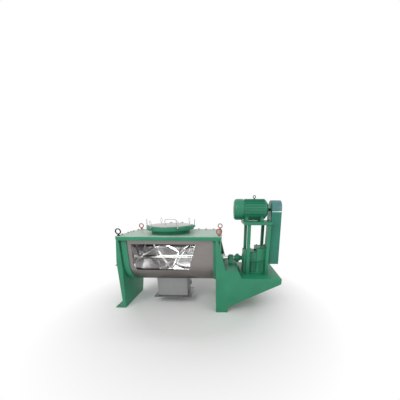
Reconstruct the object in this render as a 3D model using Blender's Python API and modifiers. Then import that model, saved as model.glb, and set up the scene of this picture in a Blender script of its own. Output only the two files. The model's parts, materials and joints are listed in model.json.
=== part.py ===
"""Horizontal ribbon blender with a belt-driven gearbox, as a model of separate pieces.

X runs along the shaft from the idle end to the drive end, the window side faces -Y, Z is up
and the floor is Z = 0. Lengths are in metres.
"""
import math

import bmesh
import bpy
from mathutils import Matrix, Vector

# Fits, cutting and roundness
GAP = 0.0003
RUNNING_GAP = 0.002
OVERRUN = 0.03
FINE_STEPS = 36
ROUND_STEPS = 20
SMALL_STEPS = 12
RING_STEPS = 16
MOTOR_STEPS = 28
BELT_STEPS = 26
SHARP_ANGLE = math.radians(35)

# Driving sizes of the machine
SHAFT_HEIGHT = 0.81
COVER_LENGTH = 1.575
COVER_WIDTH = 0.853

# Trough, with its upright sides counted from the shaft
TROUGH_SIDE = 0.432
SHELL_WALL = 0.006
END_PLATE = 0.012
ARC_STEPS = 30

# Rim frame and cover, with what stands out past the trough
RIM_LIP = 0.0625
RIM_END_LIP = 0.0375
COVER_PLATE = 0.012
RIM_SKIRT = 0.055
RIM_PLATE = 0.006

# Window in the front wall, counted from the trough's ends and from the shaft
WINDOW_IDLE_MARGIN = 0.15
WINDOW_DRIVE_MARGIN = 0.35
WINDOW_RISE = 0.31
WINDOW_DROP = 0.11
WINDOW_SLANT = 0.13
WINDOW_CORNER = 0.05

# Bands round the ends of the shell
BAND_WIDTH = 0.09
BAND_PLATE = 0.010

# Idle-end leg
LEG_PLATE = 0.010
LEG_INSET = 0.0265
LEG_DRAW_IN = 0.065
LEG_LEAN = 0.08
LEG_FLANGE_TOP = 0.085
LEG_FLANGE_FOOT = 0.04
LEG_FOOT_LENGTH = 0.167
LEG_FOOT_PLATE = 0.016
LEG_SHELF_REACH = 0.235
LEG_SHELF_HALF = 0.20
SHELF_PLATE = 0.014

# Drive stand, counted from the trough, the shaft, the bearing and the gearbox
STAND_OVERLAP = 0.0025
STAND_PLATE = 0.010
STAND_LAP = 0.05
STAND_FOOT_LENGTH = 0.19
STAND_FOOT_RISE = 0.097
STAND_EAR_TOP = 0.042
STAND_EAR_FOOT = 0.15
DECK_DROP = 0.215
DECK_LIP = 0.085
DECK_MARGIN = 0.05
DECK_END_MARGIN = 0.172
SHELF_CLEARANCE = 0.010
SHELF_MARGIN = 0.095

# Shaft, glands and bearings
SHAFT_RADIUS = 0.040
JOURNAL_RADIUS = 0.030
IDLE_BEARING_REACH = 0.165
DRIVE_BEARING_REACH = 0.195
BEARING_WIDTH = 0.07
BEARING_HEAD = 0.060
BEARING_BASE_HALF = 0.11
BEARING_BASE = 0.024
GLAND_FLANGE = 0.085
GLAND_SLEEVE = 0.058
GLAND_LENGTH = 0.062
GLAND_PLATE = 0.012
SHAFT_OVERHANG = 0.045

# Ribbons, with their clearances from the shell and the end plates
RIBBON_BAR = 0.009
RIBBON_CLEARANCE = 0.013
RIBBON_END_CLEARANCE = 0.038
SPOKE_INSET = 0.012
OUTER_DEPTH = 0.045
INNER_RADIUS = 0.205
INNER_DEPTH = 0.045
REST_ANGLE = math.radians(110)
SPOKE_RADIUS = 0.014
SCRAPER_WIDTH = 0.10
SCRAPER_HEIGHT = 0.15
SCRAPER_BLADE = 0.008
SCRAPER_CLEARANCE = 0.008
RIBBON_STEPS = 22

# Coupling
COUPLING_RADIUS = 0.075
COUPLING_HUB = 0.048
COUPLING_PLATE = 0.022
COUPLING_HUB_LENGTH = 0.030

# Gearbox, counted from the coupling's face and from its own shafts
GEARBOX_REACH = 0.096
GEARBOX_LOW_LENGTH = 0.245
GEARBOX_LENGTH = 0.39
GEARBOX_HALF = 0.165
GEARBOX_LOW_CAP = 0.137
GEARBOX_CAP = 0.085
GEARBOX_FOOT = 0.018
GEARBOX_FOOT_REACH = 0.023
GEARBOX_CORNER = 0.035
GEARBOX_RIB = 0.010
GEARBOX_RIB_COUNT = 5
OUTPUT_SHAFT_RADIUS = 0.034
OUTPUT_SHAFT_SEAT = 0.03
INPUT_RISE = 0.12
INPUT_BOSS_RADIUS = 0.075
INPUT_BOSS_LENGTH = 0.015

# Motor table on its posts, which stand round the gearbox
POST_SIZE = 0.05
POST_INSET = 0.056
POST_PITCH = 0.304
POST_CLEARANCE = 0.0115
TABLE_IDLE_MARGIN = 0.056
TABLE_DRIVE_MARGIN = 0.012
TABLE_SIDE_MARGIN = 0.0125
TABLE_RISE = 0.85
TABLE_PLATE = 0.012
TABLE_LIP = 0.045

# Motor
MOTOR_UNDERSIDE = 0.014
MOTOR_RADIUS = 0.148
MOTOR_FIN = 0.018
MOTOR_FIN_THICKNESS = 0.005
MOTOR_FIN_COUNT = 24
MOTOR_LENGTH = 0.355
MOTOR_STANDOFF = 0.045
SHIELD_LENGTH = 0.035
COWL_LENGTH = 0.146
COWL_WALL = 0.004
COWL_CORNER = 0.045
COWL_INTAKE = 0.06
COWL_LAP = 0.02
MOTOR_FOOT_HALF = 0.165
MOTOR_FOOT_WIDTH = 0.06
MOTOR_FOOT = 0.016
MOTOR_SHAFT_RADIUS = 0.021
MOTOR_SHAFT_SEAT = 0.03
TERMINAL_LENGTH = 0.12
TERMINAL_HEIGHT = 0.11
TERMINAL_DEPTH = 0.05
MOTOR_EYE_RING = 0.020
MOTOR_EYE_WIRE = 0.006
MOTOR_EYE_STEM = 0.010

# Belt drive and guard, counted from the gearbox and the pulleys
MOTOR_PULLEY_RADIUS = 0.070
GEARBOX_PULLEY_RADIUS = 0.140
PULLEY_INSET = 0.040
PULLEY_WIDTH = 0.066
BELT_SPACING = 0.026
BELT_WIDTH = 0.017
BELT_DEPTH = 0.011
GROOVE_DEPTH = 0.014
GUARD_STANDOFF = 0.015
GUARD_DEPTH = 0.152
GUARD_TOP_MARGIN = 0.075
GUARD_SIDE_MARGIN = 0.055
GUARD_FLOOR_MARGIN = 0.025
GUARD_WALL = 0.003
GUARD_BACK = 0.004

# Hatch
HATCH_PLACE = -0.07
NECK_RADIUS = 0.310
NECK_WALL = 0.008
NECK_RISE = 0.045
HATCH_FLARE = 0.075
HATCH_RIM_RISE = 0.060
HATCH_RIM_BAND = 0.070
GASKET = 0.004
GASKET_WIDTH = 0.03
LID_INSET = 0.040
LID_PLATE = 0.006
LID_HINGE_STANDOFF = 0.025
LID_HINGE_HALF = 0.10
HINGE_BARREL = 0.010
HINGE_STRAP = 0.03
HANDLE_SPAN = 0.19
HANDLE_RISE = 0.085
HANDLE_WIRE = 0.006

# Hatch clamps
CLAMP_ANGLES = (0, 50, 130, 180, 240, 300)
CLAMP_STANDOFF = 0.017
CLAMP_DROP = 0.012
CLAMP_EYE = 0.007
CLAMP_EYE_HALF = 0.009
CLAMP_WIRE = 0.0035
CLAMP_LOOP_HALF = 0.018
CLAMP_RISE = 0.125
CLAMP_NECK = 0.03
LUG_PLATE = 0.006
LUG_DEPTH = 0.032
LUG_HEIGHT = 0.028

# Lifting eyes on the corners of the cover
EYE_RING = 0.038
EYE_WIRE = 0.009
EYE_STEM = 0.013
EYE_COLLAR = 0.020
EYE_COLLAR_HEIGHT = 0.010
EYE_STEM_HEIGHT = 0.016
EYE_END_INSET = 0.036
EYE_SIDE_INSET = 0.034

# Outlet
OUTLET_PLACE = -0.07
CHUTE_LENGTH = 0.52
CHUTE_WIDTH = 0.29
CHUTE_WALL = 0.005
OUTLET_BOTTOM = 0.140
OUTLET_FLANGE = 0.010
OUTLET_END_LIP = 0.065
OUTLET_SIDE_LIP = 0.055
FLAP_INSET = 0.029
FLAP_HINGE_INSET = 0.018
FLAP_HINGE_DROP = 0.012
FLAP_BARREL = 0.007
FLAP_ARM = 0.02
FLAP_ARM_SHARES = (-0.4, 0, 0.4)
LEVER_LENGTH = 0.21
LEVER_GRIP = 0.011
LEVER_PLATE = 0.006
LEVER_OFFSET = 0.016

# Finishes by colour, roughness and metallic value
FINISHES = {
    "green_enamel": ("#3D906C", 0.42, 0.0),
    "motor_enamel": ("#2F8460", 0.40, 0.0),
    "guard_enamel": ("#157A66", 0.35, 0.0),
    "cover_enamel": ("#B5CDBD", 0.45, 0.0),
    "brushed_steel": ("#A8A2A0", 0.38, 1.0),
    "bright_steel": ("#D2D2D0", 0.25, 1.0),
    "black_oxide": ("#2A2326", 0.50, 0.6),
    "red_paint": ("#B4574E", 0.45, 0.0),
    "rubber": ("#1E1E1E", 0.80, 0.0),
    "gasket_rubber": ("#E6E2DA", 0.70, 0.0),
}

# Values that follow from the sizes above: the trough
WELD = GAP / 3
TROUGH_RADIUS = COVER_WIDTH / 2 - RIM_LIP
TROUGH_LENGTH = COVER_LENGTH - 2 * RIM_END_LIP
RIM_TOP = SHAFT_HEIGHT + TROUGH_SIDE
HALF_TROUGH = TROUGH_LENGTH / 2
END_FACE = HALF_TROUGH + GAP + END_PLATE
WINDOW_LEFT = WINDOW_IDLE_MARGIN - HALF_TROUGH
WINDOW_RIGHT = HALF_TROUGH - WINDOW_DRIVE_MARGIN
WINDOW_TOP = SHAFT_HEIGHT + WINDOW_RISE
WINDOW_BOTTOM = SHAFT_HEIGHT - WINDOW_DROP
COVER_BOTTOM = RIM_TOP + GAP
COVER_TOP = COVER_BOTTOM + COVER_PLATE
RIM_BOTTOM = RIM_TOP - RIM_SKIRT
BAND_RADIUS = TROUGH_RADIUS + GAP + BAND_PLATE

# The hatch, stacked on the cover
HATCH_RIM_RADIUS = NECK_RADIUS + HATCH_FLARE
LID_RADIUS = HATCH_RIM_RADIUS - LID_INSET
LID_HINGE_REACH = HATCH_RIM_RADIUS + LID_HINGE_STANDOFF
CLAMP_PLACE = HATCH_RIM_RADIUS + CLAMP_STANDOFF
NECK_BOTTOM = COVER_TOP + GAP
HATCH_RIM_TOP = NECK_BOTTOM + NECK_RISE + HATCH_RIM_BAND
LID_BOTTOM = HATCH_RIM_TOP + GAP + GASKET + GAP
LID_HINGE_HEIGHT = LID_BOTTOM + LID_PLATE

# The rotor and its bearings
OUTER_RADIUS = TROUGH_RADIUS - SHELL_WALL - RIBBON_CLEARANCE
SCRAPER_TIP = TROUGH_RADIUS - SHELL_WALL - SCRAPER_CLEARANCE
RIBBON_REACH = HALF_TROUGH - RIBBON_END_CLEARANCE
RIBBON_PITCH = 2 * (RIBBON_REACH - SPOKE_INSET)
IDLE_BEARING_PLACE = -(HALF_TROUGH + IDLE_BEARING_REACH)
DRIVE_BEARING_PLACE = HALF_TROUGH + DRIVE_BEARING_REACH
COUPLING_FACE = DRIVE_BEARING_PLACE + BEARING_WIDTH / 2 + BEARING_BASE / 2 + SHAFT_OVERHANG + COUPLING_PLATE

# The gearbox behind the coupling, and the guard behind the gearbox
GEARBOX_START = COUPLING_FACE + GEARBOX_REACH
GEARBOX_STEP = GEARBOX_START + GEARBOX_LOW_LENGTH
GEARBOX_END = GEARBOX_START + GEARBOX_LENGTH
GEARBOX_FOOT_HALF = GEARBOX_HALF + GEARBOX_FOOT_REACH
INPUT_HEIGHT = SHAFT_HEIGHT + INPUT_RISE
GEARBOX_LOW_TOP = SHAFT_HEIGHT + GEARBOX_LOW_CAP
GEARBOX_TOP = INPUT_HEIGHT + GEARBOX_CAP
GUARD_START = GEARBOX_END + GUARD_STANDOFF
GUARD_END = GUARD_START + GUARD_DEPTH
GUARD_TOP_RADIUS = MOTOR_PULLEY_RADIUS + GUARD_TOP_MARGIN
GUARD_FOOT_HALF = GEARBOX_PULLEY_RADIUS + GUARD_SIDE_MARGIN
GUARD_BOTTOM = INPUT_HEIGHT - GEARBOX_PULLEY_RADIUS - GUARD_FLOOR_MARGIN
PULLEY_START = GUARD_START + PULLEY_INSET

# The stand and the idle-end leg
SHELF_HEIGHT = SHAFT_HEIGHT - COUPLING_RADIUS - SHELF_CLEARANCE
DECK_HEIGHT = SHAFT_HEIGHT - DECK_DROP
SHELF_END = DRIVE_BEARING_PLACE + SHELF_MARGIN
SLOPE_END = GEARBOX_START - DECK_MARGIN
STAND_START = HALF_TROUGH - STAND_LAP
STAND_END = GEARBOX_END + DECK_END_MARGIN
STAND_END_LOW = DECK_HEIGHT - DECK_LIP
STAND_DEPTH = COVER_WIDTH + 2 * STAND_OVERLAP
LEG_FACE = -(END_FACE + GAP)
LEG_TOP_HALF = COVER_WIDTH / 2 - LEG_INSET
LEG_FOOT_HALF = LEG_TOP_HALF - LEG_DRAW_IN
LEG_SHOULDER = (RIM_BOTTOM - SHELF_HEIGHT) / 4

# The posts, the table and the motor
POST_IDLE_PLACE = GEARBOX_START + POST_INSET
POST_DRIVE_PLACE = POST_IDLE_PLACE + POST_PITCH
POST_SPREAD = 2 * (GEARBOX_FOOT_HALF + POST_CLEARANCE) + POST_SIZE
TABLE_START = POST_IDLE_PLACE - POST_SIZE / 2 - TABLE_IDLE_MARGIN
TABLE_END = POST_DRIVE_PLACE + POST_SIZE / 2 + TABLE_DRIVE_MARGIN
TABLE_HALF = (POST_SPREAD + POST_SIZE) / 2 + TABLE_SIDE_MARGIN
TABLE_TOP = DECK_HEIGHT + TABLE_RISE
COWL_RADIUS = MOTOR_RADIUS + MOTOR_FIN
MOTOR_AXIS = TABLE_TOP + GAP + COWL_RADIUS + MOTOR_UNDERSIDE
MOTOR_FACE = GUARD_START - MOTOR_STANDOFF
MOTOR_END = MOTOR_FACE - SHIELD_LENGTH
MOTOR_START = MOTOR_END - MOTOR_LENGTH
COWL_START = MOTOR_START - COWL_LENGTH

# The outlet
HOLE_LENGTH = CHUTE_LENGTH - 2 * CHUTE_WALL
HOLE_FRONT = CHUTE_WIDTH / 2 - CHUTE_WALL
FLAP_BACK = CHUTE_WIDTH / 2 - FLAP_INSET
HOLE_BACK = FLAP_BACK + RUNNING_GAP
OUTLET_FLANGE_LENGTH = CHUTE_LENGTH + 2 * OUTLET_END_LIP
OUTLET_FLANGE_WIDTH = CHUTE_WIDTH + 2 * OUTLET_SIDE_LIP
FLAP_HINGE_PLACE = CHUTE_WIDTH / 2 - FLAP_HINGE_INSET
FLAP_HINGE_HEIGHT = SHAFT_HEIGHT - math.sqrt(TROUGH_RADIUS ** 2 - FLAP_HINGE_PLACE ** 2) - FLAP_HINGE_DROP

# The middle of the machine's length, which is put over the origin
LEFT_REACH = LEG_LEAN - LEG_FACE + LEG_PLATE / 2 + LEG_FOOT_LENGTH
CENTRE_SHIFT = (LEFT_REACH - STAND_END) / 2


def linear(hex_colour):
    """Turn an sRGB hex colour into linear red, green and blue."""
    channels = [int(hex_colour[i:i + 2], 16) / 255 for i in (1, 3, 5)]
    return [c / 12.92 if c <= 0.04045 else ((c + 0.055) / 1.055) ** 2.4 for c in channels]


def new_collection(name):
    """Make a collection in the scene."""
    collection = bpy.data.collections.new(name)
    bpy.context.scene.collection.children.link(collection)
    return collection


def add_object(name, data):
    """Link an object with the given mesh or curve to the parts."""
    obj = bpy.data.objects.new(name, data)
    PARTS.objects.link(obj)
    return obj


def finish_bmesh(name, bm):
    """Write a bmesh into a new object with its faces pointing out."""
    bmesh.ops.recalc_face_normals(bm, faces=bm.faces)
    mesh = bpy.data.meshes.new(name)
    bm.to_mesh(mesh)
    bm.free()
    return add_object(name, mesh)


def bake(obj):
    """Replace an object's data by its evaluated mesh with the seams welded."""
    bpy.context.view_layer.update()
    evaluated = obj.evaluated_get(bpy.context.evaluated_depsgraph_get())
    mesh = bpy.data.meshes.new_from_object(evaluated)
    bm = bmesh.new()
    bm.from_mesh(mesh)
    bm.transform(obj.matrix_world)
    bmesh.ops.remove_doubles(bm, verts=bm.verts, dist=WELD)
    bmesh.ops.recalc_face_normals(bm, faces=bm.faces)
    name = obj.name
    bpy.data.objects.remove(obj)
    bm.to_mesh(mesh)
    bm.free()
    return add_object(name, mesh)


def combine(target, tools, operation):
    """Cut tools from the target, or join them to it, and remove the tools."""
    for tool in tools:
        modifier = target.modifiers.new(operation.title(), "BOOLEAN")
        modifier.operation = operation
        modifier.solver = "EXACT"
        modifier.object = tool
    name = target.name
    target = bake(target)
    for tool in tools:
        bpy.data.objects.remove(tool)
    target.name = name
    return target


def cut(target, *tools):
    """Take the tools away from the target."""
    return combine(target, tools, "DIFFERENCE")


def join(target, *tools):
    """Weld the tools to the target."""
    return combine(target, tools, "UNION")


def box(name, low, high):
    """Make a box between two opposite corners."""
    low, high = Vector(low), Vector(high)
    bm = bmesh.new()
    bmesh.ops.create_cube(bm, size=1)
    bmesh.ops.scale(bm, vec=high - low, verts=bm.verts)
    bmesh.ops.translate(bm, vec=(low + high) / 2, verts=bm.verts)
    return finish_bmesh(name, bm)


def rod(name, start, end, radius, steps=SMALL_STEPS, end_radius=None):
    """Make a round bar, or a cone, between two points."""
    start, end = Vector(start), Vector(end)
    direction = end - start
    bm = bmesh.new()
    bmesh.ops.create_cone(bm, cap_ends=True, segments=steps, radius1=radius,
                          radius2=radius if end_radius is None else end_radius, depth=direction.length)
    turn = direction.to_track_quat("Z", "Y").to_matrix().to_4x4()
    bmesh.ops.transform(bm, matrix=Matrix.Translation((start + end) / 2) @ turn, verts=bm.verts)
    return finish_bmesh(name, bm)


def plate(name, points, low, high, facing):
    """Make a flat plate from its outline, seen along the facing axis, between two places on that axis."""
    curve = bpy.data.curves.new(name, "CURVE")
    curve.dimensions = "2D"
    curve.fill_mode = "BOTH"
    curve.extrude = (high - low) / 2
    spline = curve.splines.new("POLY")
    spline.points.add(len(points) - 1)
    for point, (u, v) in zip(spline.points, points):
        point.co = (u, v, 0, 1)
    spline.use_cyclic_u = True
    obj = add_object(name, curve)
    middle = (low + high) / 2
    if facing == "X":
        columns = ((0, 1, 0), (0, 0, 1), (1, 0, 0), (middle, 0, 0))
    elif facing == "Y":
        columns = ((1, 0, 0), (0, 0, 1), (0, 1, 0), (0, middle, 0))
    else:
        columns = ((1, 0, 0), (0, 1, 0), (0, 0, 1), (0, 0, middle))
    matrix = Matrix.Identity(4)
    for column, values in enumerate(columns):
        for row, value in enumerate(values):
            matrix[row][column] = value
    obj.matrix_world = matrix
    return bake(obj)


def tube(name, points, radius, cyclic=False, resolution=2):
    """Bend a round wire along a run of points."""
    curve = bpy.data.curves.new(name, "CURVE")
    curve.dimensions = "3D"
    curve.bevel_depth = radius
    curve.bevel_resolution = resolution
    curve.use_fill_caps = True
    spline = curve.splines.new("POLY")
    spline.points.add(len(points) - 1)
    for point, place in zip(spline.points, points):
        point.co = (*place, 1)
    spline.use_cyclic_u = cyclic
    return bake(add_object(name, curve))


def turned(name, profile, axis, steps=ROUND_STEPS, place=(0, 0, 0)):
    """Turn a closed profile of (radius, place along the axis) pairs round X or Z."""
    bm = bmesh.new()
    verts = []
    for radius, along in profile:
        verts.append(bm.verts.new((along, 0, radius) if axis == "X" else (radius, 0, along)))
    ends = [radius for radius, along in profile]
    for index, first in enumerate(verts):
        second = (index + 1) % len(verts)
        if ends[index] > 0 or ends[second] > 0:
            bm.edges.new((first, verts[second]))
    mesh = bpy.data.meshes.new(name)
    bm.to_mesh(mesh)
    bm.free()
    obj = add_object(name, mesh)
    screw = obj.modifiers.new("Turn", "SCREW")
    screw.axis = axis
    screw.steps = steps
    screw.render_steps = steps
    screw.use_merge_vertices = True
    screw.merge_threshold = WELD
    obj.location = place
    return bake(obj)


def sheet(name, path, low, high, wall, facing):
    """Fold a sheet of even wall along an open path, extruded between two places on the facing axis."""
    bm = bmesh.new()
    verts = []
    for u, v in path:
        place = (low, u, v) if facing == "X" else (u, low, v)
        verts.append(bm.verts.new(place))
    edges = [bm.edges.new(pair) for pair in zip(verts, verts[1:])]
    grown = bmesh.ops.extrude_edge_only(bm, edges=edges)["geom"]
    run = (high - low, 0, 0) if facing == "X" else (0, high - low, 0)
    bmesh.ops.translate(bm, vec=run, verts=[g for g in grown if isinstance(g, bmesh.types.BMVert)])
    mesh = bpy.data.meshes.new(name)
    bm.to_mesh(mesh)
    bm.free()
    obj = add_object(name, mesh)
    solidify = obj.modifiers.new("Wall", "SOLIDIFY")
    solidify.thickness = wall
    solidify.offset = 1
    solidify.use_even_offset = True
    return bake(obj)


def clear_bore(radius):
    """The radius of a bore whose flat facets still clear a shaft that turns in it."""
    return (radius + GAP) / math.cos(math.pi / ROUND_STEPS)


def arc(radius, start, end, steps, centre=(0, 0)):
    """Points on an arc in degrees, counted from the first axis towards the second."""
    points = []
    for step in range(steps + 1):
        angle = math.radians(start + (end - start) * step / steps)
        points.append((centre[0] + radius * math.cos(angle), centre[1] + radius * math.sin(angle)))
    return points


def spin_point(radius, angle, along):
    """A point round the shaft, with the angle counted from the top towards the front."""
    return (along, -radius * math.sin(angle), SHAFT_HEIGHT + radius * math.cos(angle))


def paint(obj, name, colour, roughness, metallic):
    """Give an object its own material."""
    material = bpy.data.materials.new(name)
    material.use_nodes = True
    surface = material.node_tree.nodes["Principled BSDF"]
    surface.inputs["Base Color"].default_value = (*linear(colour), 1)
    surface.inputs["Roughness"].default_value = roughness
    surface.inputs["Metallic"].default_value = metallic
    obj.data.materials.clear()
    obj.data.materials.append(material)


def part(obj, finish, pivot=(0, 0, 0)):
    """Finish a piece: its origin on its pivot, its own material, and its place in the machine."""
    obj.data.transform(Matrix.Translation(-Vector(pivot)))
    obj.data.polygons.foreach_set("use_smooth", [True] * len(obj.data.polygons))
    obj.data.set_sharp_from_angle(angle=SHARP_ANGLE)
    obj.location = pivot
    obj.parent = MACHINE
    colour, roughness, metallic = FINISHES[finish]
    paint(obj, obj.name + "_finish", colour, roughness, metallic)
    return obj


def build_trough():
    """Make the U-shaped shell, its end plates, end bands, rim frame and cover."""
    # Shell with the window and the outlet cut through it
    path = [(TROUGH_RADIUS, RIM_TOP)]
    path += arc(TROUGH_RADIUS, 0, -180, ARC_STEPS, (0, SHAFT_HEIGHT))
    path += [(-TROUGH_RADIUS, RIM_TOP)]
    shell = sheet("trough_shell", path, -HALF_TROUGH, HALF_TROUGH, -SHELL_WALL, "X")
    window = [(WINDOW_LEFT, WINDOW_TOP), (WINDOW_LEFT, WINDOW_BOTTOM + 2 * WINDOW_CORNER),
              (WINDOW_LEFT + WINDOW_CORNER / 3, WINDOW_BOTTOM + WINDOW_CORNER),
              (WINDOW_LEFT + WINDOW_CORNER, WINDOW_BOTTOM), (WINDOW_RIGHT - WINDOW_SLANT, WINDOW_BOTTOM),
              (WINDOW_RIGHT, WINDOW_TOP)]
    front_cutter = plate("window_cutter", window, -TROUGH_RADIUS - OVERRUN, -TROUGH_RADIUS / 2, "Y")
    low = (OUTLET_PLACE - HOLE_LENGTH / 2, -HOLE_FRONT, SHAFT_HEIGHT - TROUGH_RADIUS - OVERRUN)
    high = (OUTLET_PLACE + HOLE_LENGTH / 2, HOLE_BACK, SHAFT_HEIGHT - TROUGH_RADIUS / 2)
    shell = cut(shell, front_cutter, box("outlet_cutter", low, high))
    part(shell, "brushed_steel")

    # End plates, bored for the shaft
    outline = [(TROUGH_RADIUS, RIM_TOP)] + arc(TROUGH_RADIUS, 0, -180, ARC_STEPS, (0, SHAFT_HEIGHT))
    outline += [(-TROUGH_RADIUS, RIM_TOP)]
    for name, side in (("idle_end_plate", -1), ("drive_end_plate", 1)):
        near, far = sorted((side * (HALF_TROUGH + GAP), side * END_FACE))
        end = plate(name, outline, near, far, "X")
        bore = rod("bore", (near - OVERRUN, 0, SHAFT_HEIGHT), (far + OVERRUN, 0, SHAFT_HEIGHT),
                   SHAFT_RADIUS + RUNNING_GAP, ROUND_STEPS)
        part(cut(end, bore), "brushed_steel")

    # Bands that stiffen both ends of the shell
    band_path = [(BAND_RADIUS, RIM_BOTTOM - GAP)] + arc(BAND_RADIUS, 0, -180, ARC_STEPS, (0, SHAFT_HEIGHT))
    band_path += [(-BAND_RADIUS, RIM_BOTTOM - GAP)]
    for name, side in (("idle_end_band", -1), ("drive_end_band", 1)):
        near, far = sorted((side * (HALF_TROUGH - BAND_WIDTH), side * HALF_TROUGH))
        part(sheet(name, band_path, near, far, -BAND_PLATE, "X"), "green_enamel")

    # Rim frame: a skirt with a flat lip that closes on the shell
    half_length, half_width = COVER_LENGTH / 2, COVER_WIDTH / 2
    rim = box("trough_rim", (-half_length, -half_width, RIM_BOTTOM), (half_length, half_width, RIM_TOP))
    under = box("under", (-half_length + RIM_PLATE, -half_width + RIM_PLATE, RIM_BOTTOM - OVERRUN),
                (half_length - RIM_PLATE, half_width - RIM_PLATE, RIM_TOP - RIM_PLATE))
    mouth_x, mouth_y = END_FACE + GAP, TROUGH_RADIUS + GAP
    mouth = box("mouth", (-mouth_x, -mouth_y, RIM_BOTTOM - OVERRUN), (mouth_x, mouth_y, RIM_TOP + OVERRUN))
    part(cut(rim, under, mouth), "green_enamel")

    # Cover plate with the round opening of the hatch
    cover = box("cover_plate", (-half_length, -half_width, COVER_BOTTOM),
                (half_length, half_width, COVER_TOP))
    hole = rod("hole", (HATCH_PLACE, 0, COVER_BOTTOM - OVERRUN), (HATCH_PLACE, 0, COVER_TOP + OVERRUN),
               NECK_RADIUS - NECK_WALL, FINE_STEPS)
    part(cut(cover, hole), "cover_enamel")


def build_idle_leg():
    """Make the leaning leg at the idle end, with its bent edges, bearing shelf and foot."""
    web_top = RIM_BOTTOM - GAP
    knee = SHELF_HEIGHT
    foot_middle = LEG_FOOT_PLATE / 2
    foot_face = LEG_FACE - LEG_LEAN
    web = plate("idle_leg", [(LEG_FACE, web_top), (LEG_FACE, knee), (foot_face, foot_middle),
                             (foot_face - LEG_PLATE, foot_middle), (LEG_FACE - LEG_PLATE, knee),
                             (LEG_FACE - LEG_PLATE, web_top)], -LEG_TOP_HALF, LEG_TOP_HALF, "Y")

    # The sides of the web draw in from the shelf to the foot
    corners = []
    for side in (-1, 1):
        outline = [(side * (LEG_TOP_HALF + OVERRUN), -OVERRUN), (side * LEG_FOOT_HALF, -OVERRUN),
                   (side * LEG_FOOT_HALF, 0), (side * LEG_TOP_HALF, knee),
                   (side * (LEG_TOP_HALF + OVERRUN), knee)]
        corners.append(plate("corner", outline, foot_face - LEG_PLATE - OVERRUN, LEG_FACE + OVERRUN, "X"))
    corners.append(rod("gland_hole", (LEG_FACE - LEG_PLATE - OVERRUN, 0, SHAFT_HEIGHT),
                       (LEG_FACE + OVERRUN, 0, SHAFT_HEIGHT), GLAND_FLANGE + GAP, ROUND_STEPS))
    web = cut(web, *corners)

    # Flanges stand out along both sides, lean with the web and narrow towards the foot
    inside = LEG_FACE - LEG_PLATE / 2
    upper_outline = [(inside, web_top - foot_middle), (inside, knee), (LEG_FACE - LEG_FLANGE_TOP, knee),
                     (LEG_FACE - LEG_FLANGE_TOP, knee + LEG_SHOULDER),
                     (LEG_FACE - LEG_FLANGE_TOP / 2, web_top - foot_middle)]
    flange_foot = LEG_FOOT_PLATE / 4
    lower_outline = [(inside, knee + foot_middle), (foot_face - LEG_PLATE / 2, flange_foot),
                     (foot_face - LEG_PLATE / 2 - LEG_FLANGE_FOOT, flange_foot),
                     (LEG_FACE - LEG_FLANGE_TOP, knee), (LEG_FACE - LEG_FLANGE_TOP, knee + foot_middle)]
    slope = math.atan2(LEG_TOP_HALF - LEG_FOOT_HALF, knee)
    pieces = []
    for side in (-1, 1):
        upper = plate("upper_flange", upper_outline, -LEG_PLATE / 2, LEG_PLATE / 2, "Y")
        seat = Matrix.Translation((0, side * (LEG_TOP_HALF - LEG_PLATE), 0))
        upper.data.transform(seat)
        lower = plate("lower_flange", lower_outline, -LEG_PLATE / 2, LEG_PLATE / 2, "Y")
        lean = Matrix.Translation((0, 0, knee)) @ Matrix.Rotation(-side * slope, 4, "X")
        lower.data.transform(seat @ lean @ Matrix.Translation((0, 0, -knee)))
        pieces += [upper, lower]

    # Bearing shelf on two ribs, and the foot plate, each let into the web to a depth of its own
    pieces.append(box("shelf", (LEG_FACE - LEG_SHELF_REACH, -LEG_SHELF_HALF, knee - SHELF_PLATE),
                      (LEG_FACE - LEG_PLATE / 4, LEG_SHELF_HALF, knee)))
    pieces.append(box("foot", (foot_face - LEG_PLATE / 2 - LEG_FOOT_LENGTH, -LEG_FOOT_HALF, 0),
                      (foot_face - LEG_PLATE / 3, LEG_FOOT_HALF, LEG_FOOT_PLATE)))
    rib_depth = LEG_PLATE * 3 / 4
    rib_foot = LEG_FOOT_PLATE * 3 / 4
    rib = [(LEG_FACE - rib_depth, knee - SHELF_PLATE / 2), (foot_face - rib_depth, rib_foot),
           (foot_face - LEG_FOOT_LENGTH * 3 / 4, rib_foot), (foot_face - LEG_FLANGE_TOP, knee / 3),
           (LEG_FACE - LEG_SHELF_REACH + SHELF_PLATE, knee - SHELF_PLATE / 2)]
    for side in (-1, 1):
        place = side * (LEG_SHELF_HALF - 2 * LEG_PLATE)
        pieces.append(plate("rib", rib, place - LEG_PLATE / 2, place + LEG_PLATE / 2, "Y"))
    part(join(web, *pieces), "green_enamel")


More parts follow.
